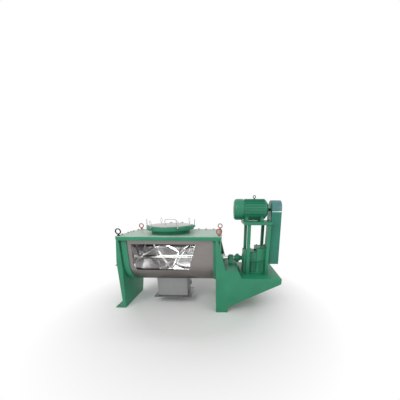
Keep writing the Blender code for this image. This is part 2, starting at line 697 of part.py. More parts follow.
def build_stand():
    """Make the drive stand: two side plates, the cross wall and the folded deck."""
    half = STAND_DEPTH / 2
    ear_top = RIM_BOTTOM - GAP
    outline = [(STAND_START, 0), (STAND_START + STAND_FOOT_LENGTH, 0),
               (STAND_START + STAND_FOOT_LENGTH, STAND_FOOT_RISE), (STAND_END, STAND_END_LOW),
               (STAND_END, DECK_HEIGHT), (SLOPE_END, DECK_HEIGHT), (SHELF_END, SHELF_HEIGHT),
               (STAND_START + STAND_EAR_FOOT, SHELF_HEIGHT), (STAND_START + STAND_EAR_TOP, ear_top),
               (STAND_START, ear_top)]
    part(plate("stand_front_plate", outline, -half, -half + STAND_PLATE, "Y"), "green_enamel")
    part(plate("stand_back_plate", outline, half - STAND_PLATE, half, "Y"), "green_enamel")

    # Cross wall against the drive end of the trough, with a hole for the shaft's gland
    inner = half - STAND_PLATE - GAP
    low_x = END_FACE + GAP
    wall = box("stand_cross_wall", (low_x, -inner, 0), (low_x + STAND_PLATE, inner, ear_top))
    opening = rod("opening", (low_x - OVERRUN, 0, SHAFT_HEIGHT),
                  (low_x + STAND_PLATE + OVERRUN, 0, SHAFT_HEIGHT), GLAND_FLANGE + GAP, ROUND_STEPS)
    arch = box("arch", (low_x - OVERRUN, -LEG_SHELF_HALF, -OVERRUN),
               (low_x + STAND_PLATE + OVERRUN, LEG_SHELF_HALF, SHAFT_HEIGHT / 4))
    wall = cut(wall, opening, arch)

    # Foot plates on the floor at both sides of the arch
    feet = [box("foot", (low_x + STAND_PLATE / 2, min(side * LEG_SHELF_HALF, side * inner), 0),
                (STAND_START + STAND_FOOT_LENGTH, max(side * LEG_SHELF_HALF, side * inner), LEG_FOOT_PLATE))
            for side in (-1, 1)]
    part(join(wall, *feet), "green_enamel")

    # Deck folded from one plate: bearing shelf, slope, gearbox deck and the lip at its end
    deck_start = low_x + STAND_PLATE + GAP
    path = [(deck_start, SHELF_HEIGHT), (SHELF_END, SHELF_HEIGHT), (SLOPE_END, DECK_HEIGHT),
            (STAND_END, DECK_HEIGHT), (STAND_END, STAND_END_LOW)]
    deck = sheet("stand_deck", path, -inner, inner, SHELF_PLATE, "Y")
    part(deck, "green_enamel")


def bearing(name, place):
    """Make a foot-mounted bearing block with a round head."""
    head = SHAFT_HEIGHT - SHELF_HEIGHT - GAP
    outline = [(-BEARING_BASE_HALF, -head), (BEARING_BASE_HALF, -head),
               (BEARING_BASE_HALF, -head + BEARING_BASE)]
    outline += arc(BEARING_HEAD, 0, 180, SMALL_STEPS)
    outline += [(-BEARING_BASE_HALF, -head + BEARING_BASE)]
    outline = [(u, SHAFT_HEIGHT + v) for u, v in outline]
    low, high = place - BEARING_WIDTH / 2, place + BEARING_WIDTH / 2
    block = plate(name, outline, low, high, "X")
    boss = rod("boss", (low - BEARING_BASE / 2, 0, SHAFT_HEIGHT),
               (high + BEARING_BASE / 2, 0, SHAFT_HEIGHT), BEARING_HEAD * 3 / 4, ROUND_STEPS)
    block = join(block, boss)
    bore = rod("bore", (low - OVERRUN, 0, SHAFT_HEIGHT), (high + OVERRUN, 0, SHAFT_HEIGHT),
               clear_bore(JOURNAL_RADIUS), ROUND_STEPS)
    part(cut(block, bore), "green_enamel")


def gland(name, side):
    """Make the stuffing box that seals the shaft where it leaves an end plate."""
    start = END_FACE + GAP
    end = start + GLAND_LENGTH
    inner = clear_bore(SHAFT_RADIUS)
    cap = GLAND_SLEEVE + GLAND_PLATE
    profile = [(inner, start), (inner, end), (cap, end), (cap, end - GLAND_PLATE),
               (GLAND_SLEEVE, end - GLAND_PLATE), (GLAND_SLEEVE, start + GLAND_PLATE),
               (GLAND_FLANGE, start + GLAND_PLATE), (GLAND_FLANGE, start)]
    profile = [(radius, side * along) for radius, along in profile]
    part(turned(name, profile, "X", ROUND_STEPS, (0, 0, SHAFT_HEIGHT)), "bright_steel")


def ribbon(name, outer, depth, side, start_angle, hand):
    """Sweep a flat bar on edge round the shaft, from the middle of the trough towards one end."""
    turn = 2 * math.pi * RIBBON_REACH / RIBBON_PITCH
    bm = bmesh.new()
    start = Vector((0, -math.sin(start_angle), math.cos(start_angle)))
    bm.edges.new((bm.verts.new(start * (outer - depth)), bm.verts.new(start * outer)))
    mesh = bpy.data.meshes.new(name)
    bm.to_mesh(mesh)
    bm.free()
    obj = add_object(name, mesh)
    screw = obj.modifiers.new("Helix", "SCREW")
    screw.axis = "X"
    screw.angle = hand * turn
    screw.screw_offset = side * RIBBON_REACH
    screw.steps = RIBBON_STEPS
    screw.render_steps = RIBBON_STEPS
    solidify = obj.modifiers.new("Bar", "SOLIDIFY")
    solidify.thickness = RIBBON_BAR
    solidify.offset = 0
    obj.location = (0, 0, SHAFT_HEIGHT)
    return bake(obj)


def half_box(name, side, place):
    """A block that fills everything beyond a plane across the shaft, for trimming."""
    reach = TROUGH_LENGTH
    near, far = sorted((place, place + side * reach))
    return box(name, (near, -reach, SHAFT_HEIGHT - reach), (far, reach, SHAFT_HEIGHT + reach))


def build_rotor():
    """Make the shaft, the two pairs of ribbons of opposite hand, and the end scrapers."""
    pivot = (0, 0, SHAFT_HEIGHT)
    idle_end = IDLE_BEARING_PLACE - BEARING_WIDTH / 2 - SHAFT_OVERHANG / 2
    drive_end = COUPLING_FACE - GAP
    step_place = END_FACE + GLAND_LENGTH + GLAND_PLATE
    profile = [(0, drive_end), (JOURNAL_RADIUS, drive_end), (JOURNAL_RADIUS, step_place),
               (SHAFT_RADIUS, step_place), (SHAFT_RADIUS, -step_place), (JOURNAL_RADIUS, -step_place),
               (JOURNAL_RADIUS, idle_end), (0, idle_end)]
    part(turned("main_shaft", profile, "X", ROUND_STEPS, pivot), "bright_steel", pivot)

    # Outer ribbons: two starts, each with a left and a right half that meet in a V
    for start, start_angle in (("a", REST_ANGLE), ("b", REST_ANGLE + math.pi)):
        for half, side in (("left", -1), ("right", 1)):
            name = "outer_ribbon_" + half + "_" + start
            bar = ribbon(name, OUTER_RADIUS, OUTER_DEPTH, side, start_angle, -1)
            bar = cut(bar, half_box("trim", -side, side * GAP / 2),
                      half_box("end_trim", side, side * RIBBON_REACH))
            bar.name = name
            part(bar, "bright_steel", pivot)

    # Inner ribbons wind the other way and carry the spokes out to the outer ribbons
    half_facet = math.pi * RIBBON_REACH / RIBBON_PITCH / RIBBON_STEPS
    spoke_end = (OUTER_RADIUS - OUTER_DEPTH) * math.cos(half_facet) - 2 * GAP
    quarter = RIBBON_PITCH / 4
    for start, start_angle in (("a", REST_ANGLE), ("b", REST_ANGLE + math.pi)):
        name = "inner_ribbon_" + start
        left = ribbon(name, INNER_RADIUS, INNER_DEPTH, -1, start_angle, 1)
        right = ribbon("right_half", INNER_RADIUS, INNER_DEPTH, 1, start_angle, 1)
        left = cut(left, half_box("end_trim", -1, -RIBBON_REACH))
        right = cut(right, half_box("end_trim", 1, RIBBON_REACH))
        spokes = []
        for step in range(-2, 3):
            angle = start_angle + abs(step) * math.pi / 2
            foot = spin_point(SHAFT_RADIUS + GAP, angle, step * quarter)
            tip = spin_point(spoke_end, angle, step * quarter)
            spokes.append(rod("spoke", foot, tip, SPOKE_RADIUS))
        bars = join(left, right, *spokes)
        bars.name = name
        part(bars, "bright_steel", pivot)

    # Scrapers sweep the end plates, square to the last spokes
    for name, side in (("end_scraper_idle", -1), ("end_scraper_drive", 1)):
        angle = REST_ANGLE - math.pi / 2 if side < 0 else REST_ANGLE + math.pi / 2
        place = side * (RIBBON_REACH - SCRAPER_WIDTH / 2)
        foot = spin_point(SHAFT_RADIUS + GAP, angle, place)
        tip = spin_point(SCRAPER_TIP - SCRAPER_HEIGHT / 2, angle, place)
        arm = rod(name, foot, tip, SPOKE_RADIUS)
        blade = box("blade", (place - SCRAPER_WIDTH / 2, -SCRAPER_BLADE / 2, SCRAPER_TIP - SCRAPER_HEIGHT),
                    (place + SCRAPER_WIDTH / 2, SCRAPER_BLADE / 2, SCRAPER_TIP))
        blade.data.transform(Matrix.Translation(pivot) @ Matrix.Rotation(angle, 4, "X"))
        scraper = join(arm, blade)
        scraper.name = name
        part(scraper, "brushed_steel", pivot)


def build_coupling():
    """Make the two coupling halves that join the blender's shaft to the gearbox."""
    pivot = (0, 0, SHAFT_HEIGHT)
    face = COUPLING_FACE
    back = face - COUPLING_PLATE
    bore = JOURNAL_RADIUS + GAP
    profile = [(bore, face), (COUPLING_RADIUS, face), (COUPLING_RADIUS, back), (COUPLING_HUB, back),
               (COUPLING_HUB, back - COUPLING_HUB_LENGTH), (bore, back - COUPLING_HUB_LENGTH)]
    part(turned("coupling_blender_half", profile, "X", ROUND_STEPS, pivot), "green_enamel", pivot)

    # The gearbox half sits on the end of the output shaft, which runs into the gearbox
    start = face + GAP
    end = start + COUPLING_PLATE
    shaft_end = GEARBOX_START + OUTPUT_SHAFT_SEAT - GAP
    hub_end = end + COUPLING_HUB_LENGTH
    profile = [(0, shaft_end), (OUTPUT_SHAFT_RADIUS, shaft_end), (OUTPUT_SHAFT_RADIUS, hub_end),
               (COUPLING_HUB, hub_end), (COUPLING_HUB, end), (COUPLING_RADIUS, end),
               (COUPLING_RADIUS, start), (0, start)]
    part(turned("coupling_gearbox_half", profile, "X", ROUND_STEPS, pivot), "green_enamel", pivot)


def rounded(half_width, bottom, top, corner):
    """An upright outline with its two upper corners rounded."""
    points = [(-half_width, bottom), (half_width, bottom)]
    points += arc(corner, 0, 90, SMALL_STEPS // 3, (half_width - corner, top - corner))
    points += arc(corner, 90, 180, SMALL_STEPS // 3, (-half_width + corner, top - corner))
    return points


def build_gearbox():
    """Make the stepped gearbox on its foot, bored for both shafts, with ribs on its sides."""
    deck = DECK_HEIGHT + GAP
    low_half = GEARBOX_HALF - GEARBOX_FOOT
    low = plate("gearbox_case", rounded(low_half, deck, GEARBOX_LOW_TOP, GEARBOX_CORNER),
                GEARBOX_START, GEARBOX_STEP, "X")
    high = plate("high", rounded(GEARBOX_HALF, deck, GEARBOX_TOP, GEARBOX_CORNER),
                 GEARBOX_STEP - GEARBOX_CORNER, GEARBOX_END, "X")
    foot = box("foot", (GEARBOX_START, -GEARBOX_FOOT_HALF, deck),
               (GEARBOX_END, GEARBOX_FOOT_HALF, deck + GEARBOX_FOOT))
    joint_band = box("joint_band", (GEARBOX_START + GEARBOX_FOOT, -GEARBOX_FOOT_HALF + GEARBOX_FOOT / 2,
                                    SHAFT_HEIGHT - GEARBOX_FOOT / 2),
                     (GEARBOX_END - GEARBOX_FOOT, GEARBOX_FOOT_HALF - GEARBOX_FOOT / 2,
                      SHAFT_HEIGHT + GEARBOX_FOOT / 2))
    out_boss = rod("out_boss", (GEARBOX_START - INPUT_BOSS_LENGTH, 0, SHAFT_HEIGHT),
                   (GEARBOX_START + GEARBOX_CORNER, 0, SHAFT_HEIGHT), INPUT_BOSS_RADIUS, ROUND_STEPS)
    in_boss = rod("in_boss", (GEARBOX_END - GEARBOX_CORNER, 0, INPUT_HEIGHT),
                  (GUARD_START - GAP, 0, INPUT_HEIGHT), INPUT_BOSS_RADIUS, ROUND_STEPS)

    # Upright ribs between the foot and the joint band, on both sides
    ribs = []
    for number in range(GEARBOX_RIB_COUNT):
        along = GEARBOX_START + GEARBOX_LENGTH * (number + 1) / (GEARBOX_RIB_COUNT + 1)
        reach = GEARBOX_HALF + GEARBOX_RIB
        ribs.append(box("rib", (along - GEARBOX_RIB / 2, -reach, deck + GEARBOX_FOOT / 2),
                        (along + GEARBOX_RIB / 2, reach, SHAFT_HEIGHT)))
    case = join(low, high, foot, joint_band, out_boss, in_boss, *ribs)
    output_bore = rod("output_bore", (GEARBOX_START - OVERRUN, 0, SHAFT_HEIGHT),
                      (GEARBOX_START + OUTPUT_SHAFT_SEAT, 0, SHAFT_HEIGHT),
                      clear_bore(OUTPUT_SHAFT_RADIUS), ROUND_STEPS)
    input_bore = rod("input_bore", (GEARBOX_END - MOTOR_SHAFT_SEAT, 0, INPUT_HEIGHT),
                     (GUARD_START + OVERRUN, 0, INPUT_HEIGHT), clear_bore(MOTOR_SHAFT_RADIUS), ROUND_STEPS)
    part(cut(case, output_bore, input_bore), "green_enamel")


def build_table():
    """Make the four posts and the folded plate that carry the motor."""
    number = 0
    for along in (POST_IDLE_PLACE, POST_DRIVE_PLACE):
        for side in (-1, 1):
            number += 1
            across = side * POST_SPREAD / 2
            half = POST_SIZE / 2
            post = box("motor_post_" + str(number), (along - half, across - half, DECK_HEIGHT + GAP),
                       (along + half, across + half, TABLE_TOP - TABLE_PLATE - GAP))
            part(post, "green_enamel")
    lip_foot = TABLE_TOP - TABLE_LIP
    lip = TABLE_PLATE / 2
    table = box("motor_table", (TABLE_START, -TABLE_HALF, lip_foot), (TABLE_END, TABLE_HALF, TABLE_TOP))
    under = box("under", (TABLE_START + TABLE_PLATE, -TABLE_HALF + lip, lip_foot - OVERRUN),
                (TABLE_END - lip, TABLE_HALF - lip, TABLE_TOP - TABLE_PLATE))
    part(cut(table, under), "green_enamel")


def build_motor():
    """Make the finned motor with its feet, end shield, fan cowl, terminal box and lifting eye."""
    centre = (0, 0, MOTOR_AXIS)
    seat = TABLE_TOP + GAP
    spigot = COWL_RADIUS - COWL_WALL - GAP
    # Body: a drum with fins, stepped down to the end shield and up to the spigot inside the fan cowl
    profile = [(0, MOTOR_FACE), (MOTOR_RADIUS * 2 / 3, MOTOR_FACE),
               (MOTOR_RADIUS, MOTOR_END), (MOTOR_RADIUS, MOTOR_START + MOTOR_FIN / 2),
               (spigot, MOTOR_START), (spigot, MOTOR_START - COWL_LAP), (0, MOTOR_START - COWL_LAP)]
    body = turned("motor_frame", profile, "X", MOTOR_STEPS, centre)
    fins = []
    for number in range(MOTOR_FIN_COUNT):
        angle = 2 * math.pi * (number + 1 / 2) / MOTOR_FIN_COUNT
        fin = box("fin", (MOTOR_START + MOTOR_FIN, -MOTOR_FIN_THICKNESS / 2, MOTOR_RADIUS - MOTOR_FIN / 2),
                  (MOTOR_END - MOTOR_FIN, MOTOR_FIN_THICKNESS / 2, MOTOR_RADIUS + MOTOR_FIN))
        fin.data.transform(Matrix.Translation(centre) @ Matrix.Rotation(angle, 4, "X"))
        fins.append(fin)
    for along in (MOTOR_START + MOTOR_FOOT_WIDTH / 2, MOTOR_END - MOTOR_FOOT_WIDTH * 3 / 2):
        fins.append(box("foot", (along, -MOTOR_FOOT_HALF, seat),
                        (along + MOTOR_FOOT_WIDTH, MOTOR_FOOT_HALF, seat + MOTOR_FOOT)))
        web = [(-MOTOR_RADIUS * 4 / 5, seat + MOTOR_FOOT / 2), (MOTOR_RADIUS * 4 / 5, seat + MOTOR_FOOT / 2),
               (MOTOR_RADIUS * 2 / 3, MOTOR_AXIS - MOTOR_RADIUS / 2),
               (-MOTOR_RADIUS * 2 / 3, MOTOR_AXIS - MOTOR_RADIUS / 2)]
        fins.append(plate("web", web, along + MOTOR_FOOT / 2, along + MOTOR_FOOT_WIDTH - MOTOR_FOOT / 2, "X"))
    body = join(body, *fins)
    side_seat = MOTOR_RADIUS + MOTOR_FIN + GAP
    terminal_place = (MOTOR_START + MOTOR_END) / 2
    bore = rod("bore", (MOTOR_FACE - MOTOR_SHAFT_SEAT, 0, MOTOR_AXIS),
               (MOTOR_FACE + OVERRUN, 0, MOTOR_AXIS), clear_bore(MOTOR_SHAFT_RADIUS), ROUND_STEPS)
    terminal_start = terminal_place - TERMINAL_LENGTH / 2
    terminal_end = terminal_place + TERMINAL_LENGTH / 2
    terminal_low = MOTOR_AXIS - TERMINAL_HEIGHT / 2
    terminal_high = MOTOR_AXIS + TERMINAL_HEIGHT / 2
    pad = box("pad", (terminal_start, side_seat - MOTOR_FIN / 2, terminal_low),
              (terminal_end, side_seat + OVERRUN, terminal_high))
    eye_hole = rod("eye_hole", (terminal_place, 0, MOTOR_AXIS + MOTOR_RADIUS - MOTOR_FIN),
                   (terminal_place, 0, MOTOR_AXIS + MOTOR_RADIUS + MOTOR_FIN + OVERRUN),
                   MOTOR_EYE_STEM + GAP, SMALL_STEPS)
    part(cut(body, bore, pad, eye_hole), "motor_enamel")

    # Terminal box on the far side of the motor
    box_face = side_seat - MOTOR_FIN / 2 + GAP
    terminal = box("motor_terminal_box", (terminal_start, box_face, terminal_low + GAP),
                   (terminal_end, box_face + TERMINAL_DEPTH, terminal_high))
    part(terminal, "motor_enamel")

    # Fan cowl: a deep round cap whose open end fits over the drum
    cap = [(COWL_RADIUS - COWL_CORNER, COWL_START)]
    cap += [(u, v) for v, u in arc(COWL_CORNER, 180, 90, SMALL_STEPS // 3,
                                   (COWL_START + COWL_CORNER, COWL_RADIUS - COWL_CORNER))][1:]
    cap += [(COWL_RADIUS, MOTOR_START - GAP), (COWL_RADIUS - COWL_WALL, MOTOR_START - GAP)]
    cap += [(u, v) for v, u in arc(COWL_CORNER - COWL_WALL, 90, 180, SMALL_STEPS // 3,
                                   (COWL_START + COWL_CORNER, COWL_RADIUS - COWL_CORNER))]
    cap += [(COWL_INTAKE, COWL_START + COWL_WALL), (COWL_INTAKE, COWL_START)]
    part(turned("motor_fan_cowl", cap[::-1], "X", MOTOR_STEPS, centre), "motor_enamel")

    # Lifting eye screwed into the top of the body
    base = MOTOR_AXIS + MOTOR_RADIUS - MOTOR_FIN + GAP
    ring_height = MOTOR_AXIS + MOTOR_RADIUS + MOTOR_FIN + MOTOR_EYE_STEM + MOTOR_EYE_RING
    circle = arc(MOTOR_EYE_RING, 0, 360 - 360 / SMALL_STEPS, SMALL_STEPS - 1)
    ring = tube("motor_lifting_eye", [(terminal_place + u, 0, ring_height + v) for u, v in circle],
                MOTOR_EYE_WIRE, cyclic=True)
    stem = rod("stem", (terminal_place, 0, base), (terminal_place, 0, ring_height - MOTOR_EYE_RING),
               MOTOR_EYE_STEM)
    ring = join(ring, stem)
    ring.name = "motor_lifting_eye"
    part(ring, "black_oxide")


def pulley(name, radius, shaft_start, height):
    """Make a grooved pulley on its shaft."""
    end = PULLEY_START + PULLEY_WIDTH
    middle = PULLEY_START + PULLEY_WIDTH / 2
    groove_top = BELT_WIDTH / 2 + GAP + GROOVE_DEPTH / 6
    groove_foot = BELT_WIDTH / 2 + GAP - GROOVE_DEPTH / 3
    profile = [(0, end), (radius, end)]
    for place in (middle + BELT_SPACING / 2, middle - BELT_SPACING / 2):
        profile += [(radius, place + groove_top), (radius - GROOVE_DEPTH, place + groove_foot),
                    (radius - GROOVE_DEPTH, place - groove_foot), (radius, place - groove_top)]
    profile += [(radius, PULLEY_START), (MOTOR_SHAFT_RADIUS, PULLEY_START),
                (MOTOR_SHAFT_RADIUS, shaft_start), (0, shaft_start)]
    pivot = (0, 0, height)
    part(turned(name, profile, "X", ROUND_STEPS, pivot), "black_oxide", pivot)


def belt_path(grow):
    """The outline of an open belt round both pulleys, grown outwards from the groove floor."""
    flat = math.cos(math.pi / (BELT_STEPS - 2))
    small = (MOTOR_PULLEY_RADIUS - GROOVE_DEPTH + GAP + grow) / flat
    large = (GEARBOX_PULLEY_RADIUS - GROOVE_DEPTH + GAP + grow) / flat
    lean = math.degrees(math.asin((large - small) / (MOTOR_AXIS - INPUT_HEIGHT)))
    points = arc(small, lean, 180 - lean, BELT_STEPS // 2, (0, MOTOR_AXIS))
    points += arc(large, 180 - lean, 360 + lean, BELT_STEPS // 2, (0, INPUT_HEIGHT))
    return points


def build_belt_drive():
    """Make both pulleys, the two belts, and the guard with its face and back plates."""
    pulley("motor_pulley", MOTOR_PULLEY_RADIUS, MOTOR_FACE - MOTOR_SHAFT_SEAT + GAP, MOTOR_AXIS)
    pulley("gearbox_pulley", GEARBOX_PULLEY_RADIUS, GEARBOX_END - MOTOR_SHAFT_SEAT + GAP, INPUT_HEIGHT)
    middle = PULLEY_START + PULLEY_WIDTH / 2
    for number, place in ((1, middle - BELT_SPACING / 2), (2, middle + BELT_SPACING / 2)):
        name = "v_belt_" + str(number)
        narrow = BELT_WIDTH / 2 - GROOVE_DEPTH / 3
        ring = plate(name, belt_path(BELT_DEPTH), place - narrow, place + narrow, "X")
        ring = cut(ring, plate("inside", belt_path(0), place - BELT_WIDTH, place + BELT_WIDTH, "X"))
        part(ring, "rubber")

    # Guard: a tapered band round over the motor pulley, closed by a face plate and a back plate
    def casing(shrink):
        radius, foot = GUARD_TOP_RADIUS - shrink, GUARD_FOOT_HALF - shrink
        floor = GUARD_BOTTOM + shrink
        rise = MOTOR_AXIS - floor
        touch = math.degrees(math.acos(radius / math.hypot(foot, rise)) - math.atan2(rise, foot))
        points = [(-foot, floor), (foot, floor)]
        return points + arc(radius, touch, 180 - touch, ROUND_STEPS, (0, MOTOR_AXIS))

    back_end = GUARD_START + GUARD_BACK
    face_start = GUARD_END - GUARD_WALL
    band = plate("belt_guard", casing(0), back_end + GAP, face_start - GAP, "X")
    hollow = plate("hollow", casing(GUARD_WALL), back_end - OVERRUN, face_start + OVERRUN, "X")
    part(cut(band, hollow), "guard_enamel")
    part(plate("belt_guard_face", casing(0), face_start, GUARD_END, "X"), "guard_enamel")
    back = plate("belt_guard_back", casing(0), GUARD_START, back_end, "X")
    holes = [rod("hole", (GUARD_START - OVERRUN, 0, height), (back_end + OVERRUN, 0, height),
                 MOTOR_SHAFT_RADIUS + RUNNING_GAP, ROUND_STEPS) for height in (MOTOR_AXIS, INPUT_HEIGHT)]
    part(cut(back, *holes), "guard_enamel")


def build_hatch():
    """Make the hatch neck with its rim and lugs, the gasket, the hinged lid and the clamps."""
    centre = (HATCH_PLACE, 0, 0)
    shoulder = NECK_BOTTOM + NECK_RISE
    rim_foot = HATCH_RIM_TOP - HATCH_RIM_BAND + HATCH_RIM_RISE / 4
    profile = [(NECK_RADIUS, shoulder), (NECK_RADIUS, NECK_BOTTOM), (NECK_RADIUS - NECK_WALL, NECK_BOTTOM),
               (NECK_RADIUS - NECK_WALL, HATCH_RIM_TOP), (HATCH_RIM_RADIUS, HATCH_RIM_TOP),
               (HATCH_RIM_RADIUS, rim_foot)]
    neck = turned("hatch_neck", profile[::-1], "Z", FINE_STEPS, centre)

    # Lugs on the rim hold the clamps, and two ears at the back hold the lid's hinge
    pieces = []
    eye_height = HATCH_RIM_TOP - CLAMP_DROP
    for degrees in CLAMP_ANGLES:
        turn = Matrix.Translation(centre) @ Matrix.Rotation(math.radians(degrees), 4, "Z")
        for side in (-1, 1):
            near = side * (CLAMP_EYE_HALF + GAP)
            far = side * (CLAMP_EYE_HALF + GAP + LUG_PLATE)
            root = HATCH_RIM_RADIUS - NECK_WALL
            lug = box("lug", (root, min(near, far), eye_height - LUG_HEIGHT / 2),
                      (root + LUG_DEPTH, max(near, far), eye_height + CLAMP_DROP - GAP))
            lug.data.transform(turn)
            pieces.append(lug)
    for side in (-1, 1):
        place = HATCH_PLACE + side * (LID_HINGE_HALF + HINGE_STRAP / 2 + GAP + LUG_PLATE / 2)
        ear = plate("ear", [(HATCH_RIM_RADIUS - HINGE_BARREL * 4, HATCH_RIM_TOP - HINGE_STRAP),
                            (LID_HINGE_REACH, HATCH_RIM_TOP - HINGE_STRAP)]
                    + arc(HINGE_BARREL, 0, 180, SMALL_STEPS // 2, (LID_HINGE_REACH, LID_HINGE_HEIGHT))
                    + [(LID_HINGE_REACH - HINGE_BARREL, HATCH_RIM_TOP - GAP * 2),
                       (HATCH_RIM_RADIUS - HINGE_BARREL * 4, HATCH_RIM_TOP - GAP * 2)],
                    place - LUG_PLATE / 2, place + LUG_PLATE / 2, "X")
        pieces.append(ear)
    part(join(neck, *pieces), "green_enamel")

    # Gasket in a ring under the edge of the lid
    inner = LID_RADIUS - GASKET_WIDTH
    low = HATCH_RIM_TOP + GAP
    outer = LID_RADIUS - GASKET
    profile = [(outer, low), (inner, low), (inner, low + GASKET), (outer, low + GASKET)]
    part(turned("hatch_gasket", profile[::-1], "Z", FINE_STEPS, centre), "gasket_rubber")

    # Lid with two hinge straps and a barrel on the hinge line
    lid_pivot = (HATCH_PLACE, LID_HINGE_REACH, LID_HINGE_HEIGHT)
    lid = rod("hatch_lid", (HATCH_PLACE, 0, LID_BOTTOM), (HATCH_PLACE, 0, LID_BOTTOM + LID_PLATE),
              LID_RADIUS, FINE_STEPS)
    pieces = []
    for side in (-1, 1):
        place = HATCH_PLACE + side * LID_HINGE_HALF
        strap_foot = (place - HINGE_STRAP / 2, LID_RADIUS - 4 * HINGE_STRAP, LID_BOTTOM + LID_PLATE / 2)
        pieces.append(box("strap", strap_foot,
                          (place + HINGE_STRAP / 2, LID_HINGE_REACH, LID_BOTTOM + 2 * LID_PLATE)))
        pieces.append(rod("barrel", (place - HINGE_STRAP / 2, LID_HINGE_REACH, LID_HINGE_HEIGHT),
                          (place + HINGE_STRAP / 2, LID_HINGE_REACH, LID_HINGE_HEIGHT), HINGE_BARREL))
    part(join(lid, *pieces), "bright_steel", lid_pivot)

    # Bail handle on the lid
    foot = LID_BOTTOM + LID_PLATE + GAP
    half = HANDLE_SPAN / 2
    bend = HANDLE_RISE / 4
    bend_height = foot + HANDLE_RISE - bend
    outline = [(half, foot)] + arc(bend, 0, 90, SMALL_STEPS // 3, (half - bend, bend_height))
    outline += arc(bend, 90, 180, SMALL_STEPS // 3, (-half + bend, bend_height)) + [(-half, foot)]
    points = [(HATCH_PLACE + u, 0, v) for u, v in outline]
    part(tube("lid_handle", points, HANDLE_WIRE), "bright_steel", lid_pivot)

    # Clamps: a wire loop on an eye that turns between its two lugs
    for number, degrees in enumerate(CLAMP_ANGLES):
        name = "hatch_clamp_" + str(number + 1)
        eye = rod(name, (CLAMP_PLACE, -CLAMP_EYE_HALF, eye_height), (CLAMP_PLACE, CLAMP_EYE_HALF, eye_height),
                  CLAMP_EYE)
        neck_top = eye_height + CLAMP_NECK
        stem = rod("stem", (CLAMP_PLACE, 0, eye_height), (CLAMP_PLACE, 0, neck_top + CLAMP_WIRE),
                   CLAMP_EYE / 2 + CLAMP_WIRE / 2)
        rise = CLAMP_RISE - CLAMP_NECK - CLAMP_DROP
        loop_points = []
        for step in range(SMALL_STEPS):
            angle = 2 * math.pi * step / SMALL_STEPS
            loop_points.append((CLAMP_PLACE, CLAMP_LOOP_HALF * math.sin(angle),
                                neck_top + rise / 2 - rise / 2 * math.cos(angle)))
        loop = tube("loop", loop_points, CLAMP_WIRE, cyclic=True, resolution=1)
        clamp = join(eye, stem, loop)
        clamp.name = name
        turn = Matrix.Translation(centre) @ Matrix.Rotation(math.radians(degrees), 4, "Z")
        clamp.data.transform(turn)
        pivot = turn @ Vector((CLAMP_PLACE, 0, eye_height))
        part(clamp, "bright_steel", pivot)


def build_lifting_eyes():
    """Make the ring-topped lifting eyes on the four corners of the cover."""
    number = 0
    for end in (-1, 1):
        for side in (-1, 1):
            number += 1
            name = "lifting_eye_" + str(number)
            x = end * (COVER_LENGTH / 2 - EYE_END_INSET)
            y = side * (COVER_WIDTH / 2 - EYE_SIDE_INSET)
            base = COVER_TOP + GAP
            height = base + EYE_COLLAR_HEIGHT + EYE_STEM_HEIGHT + EYE_RING
            ring = tube(name, [(x + u, y, height + v)
                               for u, v in arc(EYE_RING, 0, 360 - 360 / RING_STEPS, RING_STEPS - 1)],
                        EYE_WIRE, cyclic=True, resolution=1)
            collar = rod("collar", (x, y, base), (x, y, base + EYE_COLLAR_HEIGHT), EYE_COLLAR)
            stem = rod("stem", (x, y, base + EYE_COLLAR_HEIGHT / 2), (x, y, height - EYE_RING), EYE_STEM)
            ring = join(collar, stem, ring)
            ring.name = name
            part(ring, "black_oxide" if number == 1 else "red_paint")


